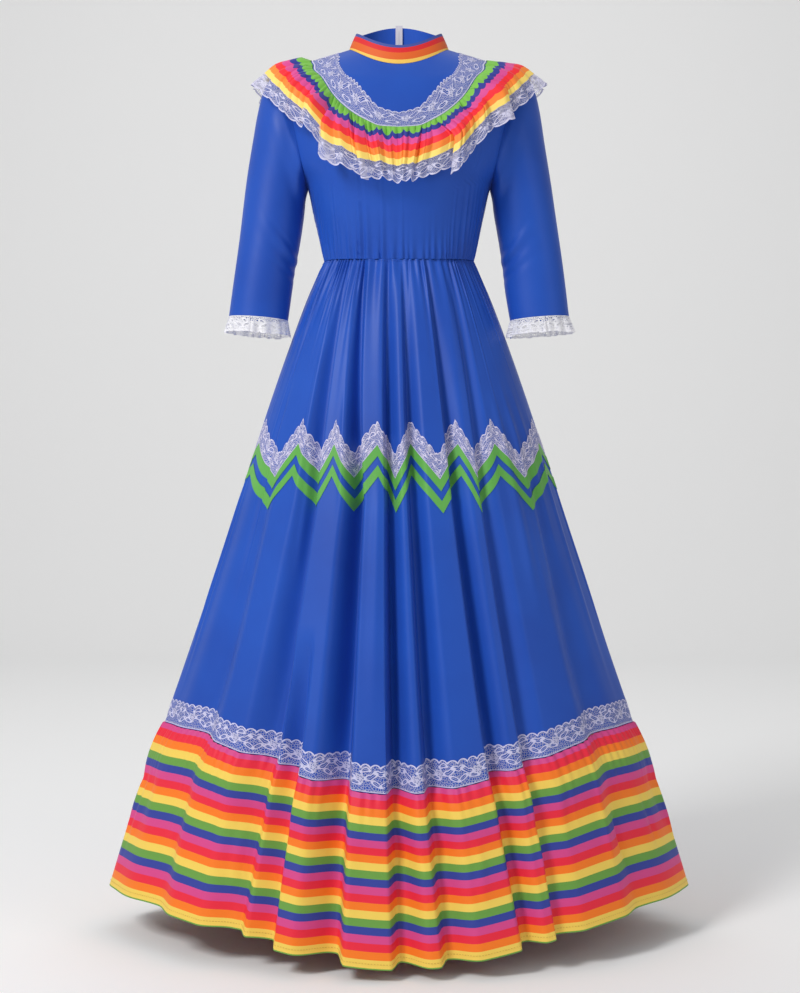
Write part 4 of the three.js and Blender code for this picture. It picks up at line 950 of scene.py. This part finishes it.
# name, first and last angle, columns, drops, and what each upright edge meets: the zip, or a side seam from
# its front (-1) or its back (1)
skirtPieces = (
    ("skirt_front", -90, 90, skirt["frontColumns"], upperDrops, -1, -1),
    ("skirt_back_left", 90, 180, skirt["backColumns"], upperDrops, 1, "zip"),
    ("skirt_back_right", 180, 270, skirt["backColumns"], upperDrops, "zip", 1),
    ("flounce_front", -90, 90, skirt["frontColumns"], lowerDrops, -1, -1),
    ("flounce_back", 90, 270, 2 * skirt["backColumns"], lowerDrops, 1, 1),
)
for name, low, high, count, drops, left, right in skirtPieces:
    grid = skirtPoint(*np.meshgrid(withMarks(low, high, count, foldTable["middle"]), drops))
    for index, meets, side in ((0, left, -1), (-1, right, 1)):
        if meets == "zip":
            unsewn = drops <= skirtPlan["zipEnd"] + 3
            grid[:, index, 0] = np.where(unsewn, side * dress["zipHalf"], side * dress["seam"] / 2)
        else:
            grid[:, index, 1] = meets * dress["seam"] / 2
    if name.startswith("skirt"):
        piece = clothMesh(f"{name}_cloth", grid, wall=dress["cloth"])
        finishPiece(piece, blueSatin)
    else:
        middle = lengthsAlong(grid[len(drops) // 2:len(drops) // 2 + 1], 1)[0]
        down = drops - skirtPlan["seam"] + flounceStripes["startMm"]
        piece = clothMesh(f"{name}_cloth", grid, wall=0.9, uv=(middle, down))
        finishPiece(piece, flounceSatin)
print("skirt made")

# Bands and laces lie on the skirt
trimColumns = withMarks(-90, 270, 901, zigzagCorners + foldTable["middle"])[:-1]
zigzagTop = zigzagPlan["top"] - zigzagPlan["height"] * zigzagAt(trimColumns)


def trimGrid(top, bottom, rows):
    # top and bottom are the drops of a trim's two edges at each of its columns
    t = np.linspace(0, 1, rows)[:, None]
    drops = np.broadcast_to(top, len(trimColumns)) * (1 - t) + np.broadcast_to(bottom, len(trimColumns)) * t
    return skirtPoint(np.broadcast_to(trimColumns, drops.shape), drops)


for name, start in (("zigzag_upper_band", 0), ("zigzag_lower_band", zigzagPlan["band"] + zigzagPlan["gap"])):
    top = zigzagTop + start
    piece = clothMesh(f"{name}_cloth", trimGrid(top, top + zigzagPlan["band"], 6), closed=True, wall=0.4,
                      lift=0.9)
    finishPiece(piece, greenBand)
laceTrims = {
    "zigzag": {"top": zigzagTop - zigzagPlan["lace"], "bottom": zigzagTop - 0.5, "scallopDeepMm": 7},
    "flounce": {"top": 740.0, "bottom": 779.0, "scallopDeepMm": 4},
}
for key, trim in laceTrims.items():
    plan = lacePlans[key]
    line = skirtPoint(trimColumns, np.broadcast_to(trim["bottom"], len(trimColumns)))
    around = lengthsAlong(line)
    whole = around[-1] + np.linalg.norm(line[0] - line[-1])
    arc = np.abs(np.sin(np.pi * around / whole * round(whole / plan["scallopMm"]))) ** 0.65
    grid = trimGrid(trim["top"] + trim["scallopDeepMm"] * (1 - arc), trim["bottom"], 12)
    piece = clothMesh(f"{key}_lace_cloth", grid, closed=True, lift=0.7,
                      uv=(np.append(around, whole), np.linspace(0, plan["widthMm"], 12)))
    finishPiece(piece, laces[key])
print("trims made")

# Sewing thread and zip teeth: one small form repeated along lines
thread = {"pitchMm": 4.4, "lengthMm": 3.0, "thickMm": 0.75, "uneven": 0.12}
zipTeeth = {"pitchMm": 2.6, "wideMm": 5.2, "thickMm": 1.5, "highMm": 1.7, "uneven": 0.02}


def repeatTree(name, kind):
    # a line's points, evenly spaced; a small form on each, long axis along the line, a little uneven
    tree = bpy.data.node_groups.new(name, "GeometryNodeTree")
    sockets = {}
    for title, way, sort in (("Geometry", "INPUT", "Geometry"), ("Pitch", "INPUT", "Float"),
                             ("Form Size", "INPUT", "Vector"), ("Unevenness", "INPUT", "Float"),
                             ("Seed", "INPUT", "Int"), ("Material", "INPUT", "Material"),
                             ("Geometry", "OUTPUT", "Geometry")):
        socket = tree.interface.new_socket(name=title, in_out=way, socket_type="NodeSocket" + sort)
        if way == "INPUT":
            sockets[title] = socket.identifier
    given = addNode(tree, "NodeGroupInput").outputs
    curve = addNode(tree, "GeometryNodeMeshToCurve", {"Mesh": given["Geometry"]}).outputs["Curve"]
    points = addNode(tree, "GeometryNodeResampleCurve",
                     {"mode": "LENGTH", "Curve": curve, "Length": given["Pitch"]})
    tangent = addNode(tree, "GeometryNodeInputTangent").outputs["Tangent"]
    turned = addNode(tree, "FunctionNodeAlignRotationToVector", {"axis": "Z", "Vector": tangent})
    made = {"uneven": given["Unevenness"]}
    addSteps(tree, made, [("least", "SUBTRACT", 1.0, "uneven"), ("most", "ADD", 1.0, "uneven")])
    chance = addNode(tree, "FunctionNodeRandomValue",
                     {"data_type": "FLOAT", 2: made["least"], 3: made["most"],
                                                       "Seed": given["Seed"]})
    if kind == "tooth":
        form = addNode(tree, "GeometryNodeMeshCube")
    else:
        form = addNode(tree, "GeometryNodeMeshIcoSphere", {"Radius": 0.5, "Subdivisions": 1})
    shaped = addNode(tree, "GeometryNodeTransform",
                     {"Geometry": form.outputs["Mesh"], "Scale": given["Form Size"]})
    placed = addNode(tree, "GeometryNodeInstanceOnPoints", {
        "Points": points.outputs["Curve"], "Instance": shaped.outputs["Geometry"],
        "Rotation": turned.outputs["Rotation"], "Scale": chance.outputs[1]})
    real = addNode(tree, "GeometryNodeRealizeInstances", {"Geometry": placed.outputs["Instances"]})
    dressed = addNode(tree, "GeometryNodeSetMaterial", {"Geometry": real.outputs["Geometry"],
                                                        "Material": given["Material"]})
    addNode(tree, "NodeGroupOutput", {"Geometry": dressed.outputs["Geometry"]})
    return tree, sockets


stitchTree = repeatTree("StitchRow", "stitch")
toothTree = repeatTree("ZipTeethRow", "tooth")


def repeatAlong(name, line, recipe, pitchMm, sizeMm, material, uneven):
    # the line is points in mm; the first one is repeated at the end of a closed line
    mesh = bpy.data.meshes.new(name)
    mesh.from_pydata([tuple(point / 1000) for point in line], [(k, k + 1) for k in range(len(line) - 1)], [])
    piece = bpy.data.objects.new(name, mesh)
    bpy.context.scene.collection.objects.link(piece)
    tree, sockets = recipe
    modifier = piece.modifiers.new("repeat", "NODES")
    modifier.node_group = tree
    for title, value in (("Pitch", pitchMm / 1000), ("Form Size", [side / 1000 for side in sizeMm]),
                         ("Unevenness", uneven), ("Seed", dress["seed"]), ("Material", material)):
        modifier[sockets[title]] = value
    depsgraph = bpy.context.evaluated_depsgraph_get()
    depsgraph.update()
    solid = bpy.data.meshes.new_from_object(piece.evaluated_get(depsgraph))
    piece.modifiers.remove(modifier)
    piece.data = solid
    solid.name = name
    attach(piece, "dress")
    return piece


def threadMaterial(name, color):
    # spun polyester sewing thread, twisted, too fine for its ply to show
    material, tree = newMaterial(name)
    dressSurface(tree, {"Base Color": linearColor(color), "Roughness": 0.6, "Sheen Weight": 0.1})
    return material


def outward(points, liftMm):
    # a line of points moved out from the dress's middle
    return points + unit(points * [1, 1, 0]) * liftMm


around = np.linspace(-90, 270, 1400)
neckAngles = ruffleAngles(700)
neckLine = torsoPoint(neckAngles, seamRow(neckAngles) + (laceRow(neckAngles) - seamRow(neckAngles)) * 0.93)
threads = {key: threadMaterial(f"SpunPolyesterThread{key.capitalize()}", color)
           for key, color in (("blue", "#1c4aa8"), ("gold", "#c9a23e"), ("white", "#e6e4ee"))}
# rows of stitches: the line they follow, how far they stand out in mm, and their thread
stitchRows = {
    "flounce_hem_stitches": (skirtPoint(around, 1047.0), 0.9, "gold"),
    "flounce_seam_stitches": (skirtPoint(around, 776.5), 1.2, "white"),
    "waist_stitches": (skirtPoint(around, 3.0), 0.6, "blue"),
    "neck_lace_stitches": (neckLine, 1.3, "white"),
}
for name, (line, liftMm, color) in stitchRows.items():
    repeatAlong(name, outward(line, liftMm), stitchTree, thread["pitchMm"],
                (thread["thickMm"], thread["thickMm"], thread["lengthMm"]), threads[color], thread["uneven"])
print("stitches made")

# Zip: woven tapes, the slider and its pull tab carried over from the solids, and a moulded coil of teeth made
# along the back
def tapeMaterial(name, color):
    # woven polyester zip tape, a herringbone of fine ribs
    material, tree = newMaterial(name)
    place = addNode(tree, "ShaderNodeTexCoord").outputs["Object"]
    # the real ribs are 0.5 mm apart, drawn coarser so that they show
    ribs = addNode(tree, "ShaderNodeTexWave", {
        "wave_type": "BANDS", "bands_direction": "DIAGONAL", "Scale": 170.0, "Distortion": 0.6,
        "Vector": place}).outputs["Fac"]
    bump = addNode(tree, "ShaderNodeBump", {"Strength": 0.4, "Distance": 0.0003, "Height": ribs})
    dressSurface(tree, {"Base Color": linearColor(color), "Roughness": 0.75, "Specular IOR Level": 0.2,
                        "Normal": bump.outputs["Normal"]})
    return material


def mouldedMaterial(name, color):
    # injection-moulded plastic, slightly uneven to the light
    material, tree = newMaterial(name)
    place = addNode(tree, "ShaderNodeTexCoord").outputs["Object"]
    grain = addNode(tree, "ShaderNodeTexNoise", {
        "Scale": 900.0, "Detail": 2.0, "Vector": place}).outputs["Fac"]
    bump = addNode(tree, "ShaderNodeBump", {"Strength": 0.08, "Distance": 0.0002, "Height": grain})
    dressSurface(tree, {"Base Color": linearColor(color), "Roughness": 0.3, "Coat Weight": 0.2,
                        "Normal": bump.outputs["Normal"]})
    return material


zipTape = tapeMaterial("WovenPolyesterZipTape", "#e9e6f2")
zipSlider = mouldedMaterial("MouldedAcetalSlider", "#dcdbe6")
zipNylon = mouldedMaterial("MouldedNylonCoil", "#e4e2ee")
for name, material in (("zip_tape_left", zipTape), ("zip_tape_right", zipTape), ("zip_slider", zipSlider),
                       ("zip_pull", zipSlider)):
    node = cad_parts[name]
    node.data.materials.clear()
    node.data.materials.append(material)
behind = np.full(60, 180.0)
collarLine = np.stack([np.zeros(8), np.linspace(58.6, 63, 8), np.linspace(35, 16, 8)], -1)
bodiceLine = torsoPoint(behind, np.linspace(10.95, 0, 60))
skirtLine = skirtPoint(behind, np.linspace(4, skirtPlan["zipEnd"] - 2, 60))
coil = np.concatenate([collarLine, bodiceLine, skirtLine]) * [0, 1, 1] - [0, 0.5, 0]
teeth = repeatAlong("zip_teeth", coil, toothTree, zipTeeth["pitchMm"],
                    (zipTeeth["wideMm"], zipTeeth["thickMm"], zipTeeth["highMm"]), zipNylon,
                    zipTeeth["uneven"])
print("zip made")

# Floor, backdrop, light and camera
studio = {"pale": "#fafafa", "floorZ": -1.402, "near": -7.0, "far": 5.6, "curve": 1.2, "high": 6.0, "half": 9,
          "air": 0.42}
paleMaterial, tree = newMaterial("MattStudioPaper")
dressSurface(tree, {"Base Color": linearColor(studio["pale"]), "Roughness": 0.9, "Specular IOR Level": 0.1})
bend = studio["curve"]
outline = [(studio["near"], 0.0), (studio["far"], studio["high"])]
outline[1:1] = [(studio["far"] - bend + bend * math.sin(a), bend - bend * math.cos(a))
                for a in np.linspace(0, math.pi / 2, 24)]
verts = [(x, y, studio["floorZ"] + z) for y, z in outline for x in (-studio["half"], studio["half"])]
faces = [(2 * k, 2 * k + 1, 2 * k + 3, 2 * k + 2) for k in range(len(outline) - 1)]
mesh = bpy.data.meshes.new("studio_sweep")
mesh.from_pydata(verts, [], faces)
mesh.materials.append(paleMaterial)
mesh.shade_smooth()
sweep = bpy.data.objects.new("studio_sweep", mesh)
bpy.context.scene.collection.objects.link(sweep)

world = bpy.data.worlds.new("studioAir")
bpy.context.scene.world = world
world.use_nodes = True
air = world.node_tree.nodes["Background"].inputs
air["Color"].default_value, air["Strength"].default_value = (1, 1, 1, 1), studio["air"]


def softLight(name, place, aim, power, size):
    light = bpy.data.lights.new(name, "AREA")
    light.energy = power
    light.shape = "RECTANGLE"
    light.size, light.size_y = size
    lamp = bpy.data.objects.new(name, light)
    lamp.location = place
    lamp.rotation_euler = (Vector(aim) - Vector(place)).to_track_quat("-Z", "Y").to_euler()
    bpy.context.scene.collection.objects.link(lamp)


softLight("keyLight", (-2.1, -2.4, 1.5), (0, 0, -0.65), 86, (0.9, 1.2))
softLight("fillLight", (2.6, -2.2, 0.4), (0, 0, -0.8), 10, (1.2, 1.8))
softLight("backdropLight", (0, 1.6, 2.8), (0, 4.8, -1.0), 52, (5.0, 1.4))

bpy.context.scene.view_settings.view_transform = "Standard"
eye = {"lens": 60.4, "sensor": 36, "place": (0.0016, -2.67, -0.714)}
camera = bpy.data.cameras.new("camera")
camera.lens, camera.sensor_width = eye["lens"], eye["sensor"]
viewer = bpy.data.objects.new("camera", camera)
viewer.location = eye["place"]
viewer.rotation_euler = (math.pi / 2, 0, 0)
bpy.context.scene.collection.objects.link(viewer)
bpy.context.scene.camera = viewer
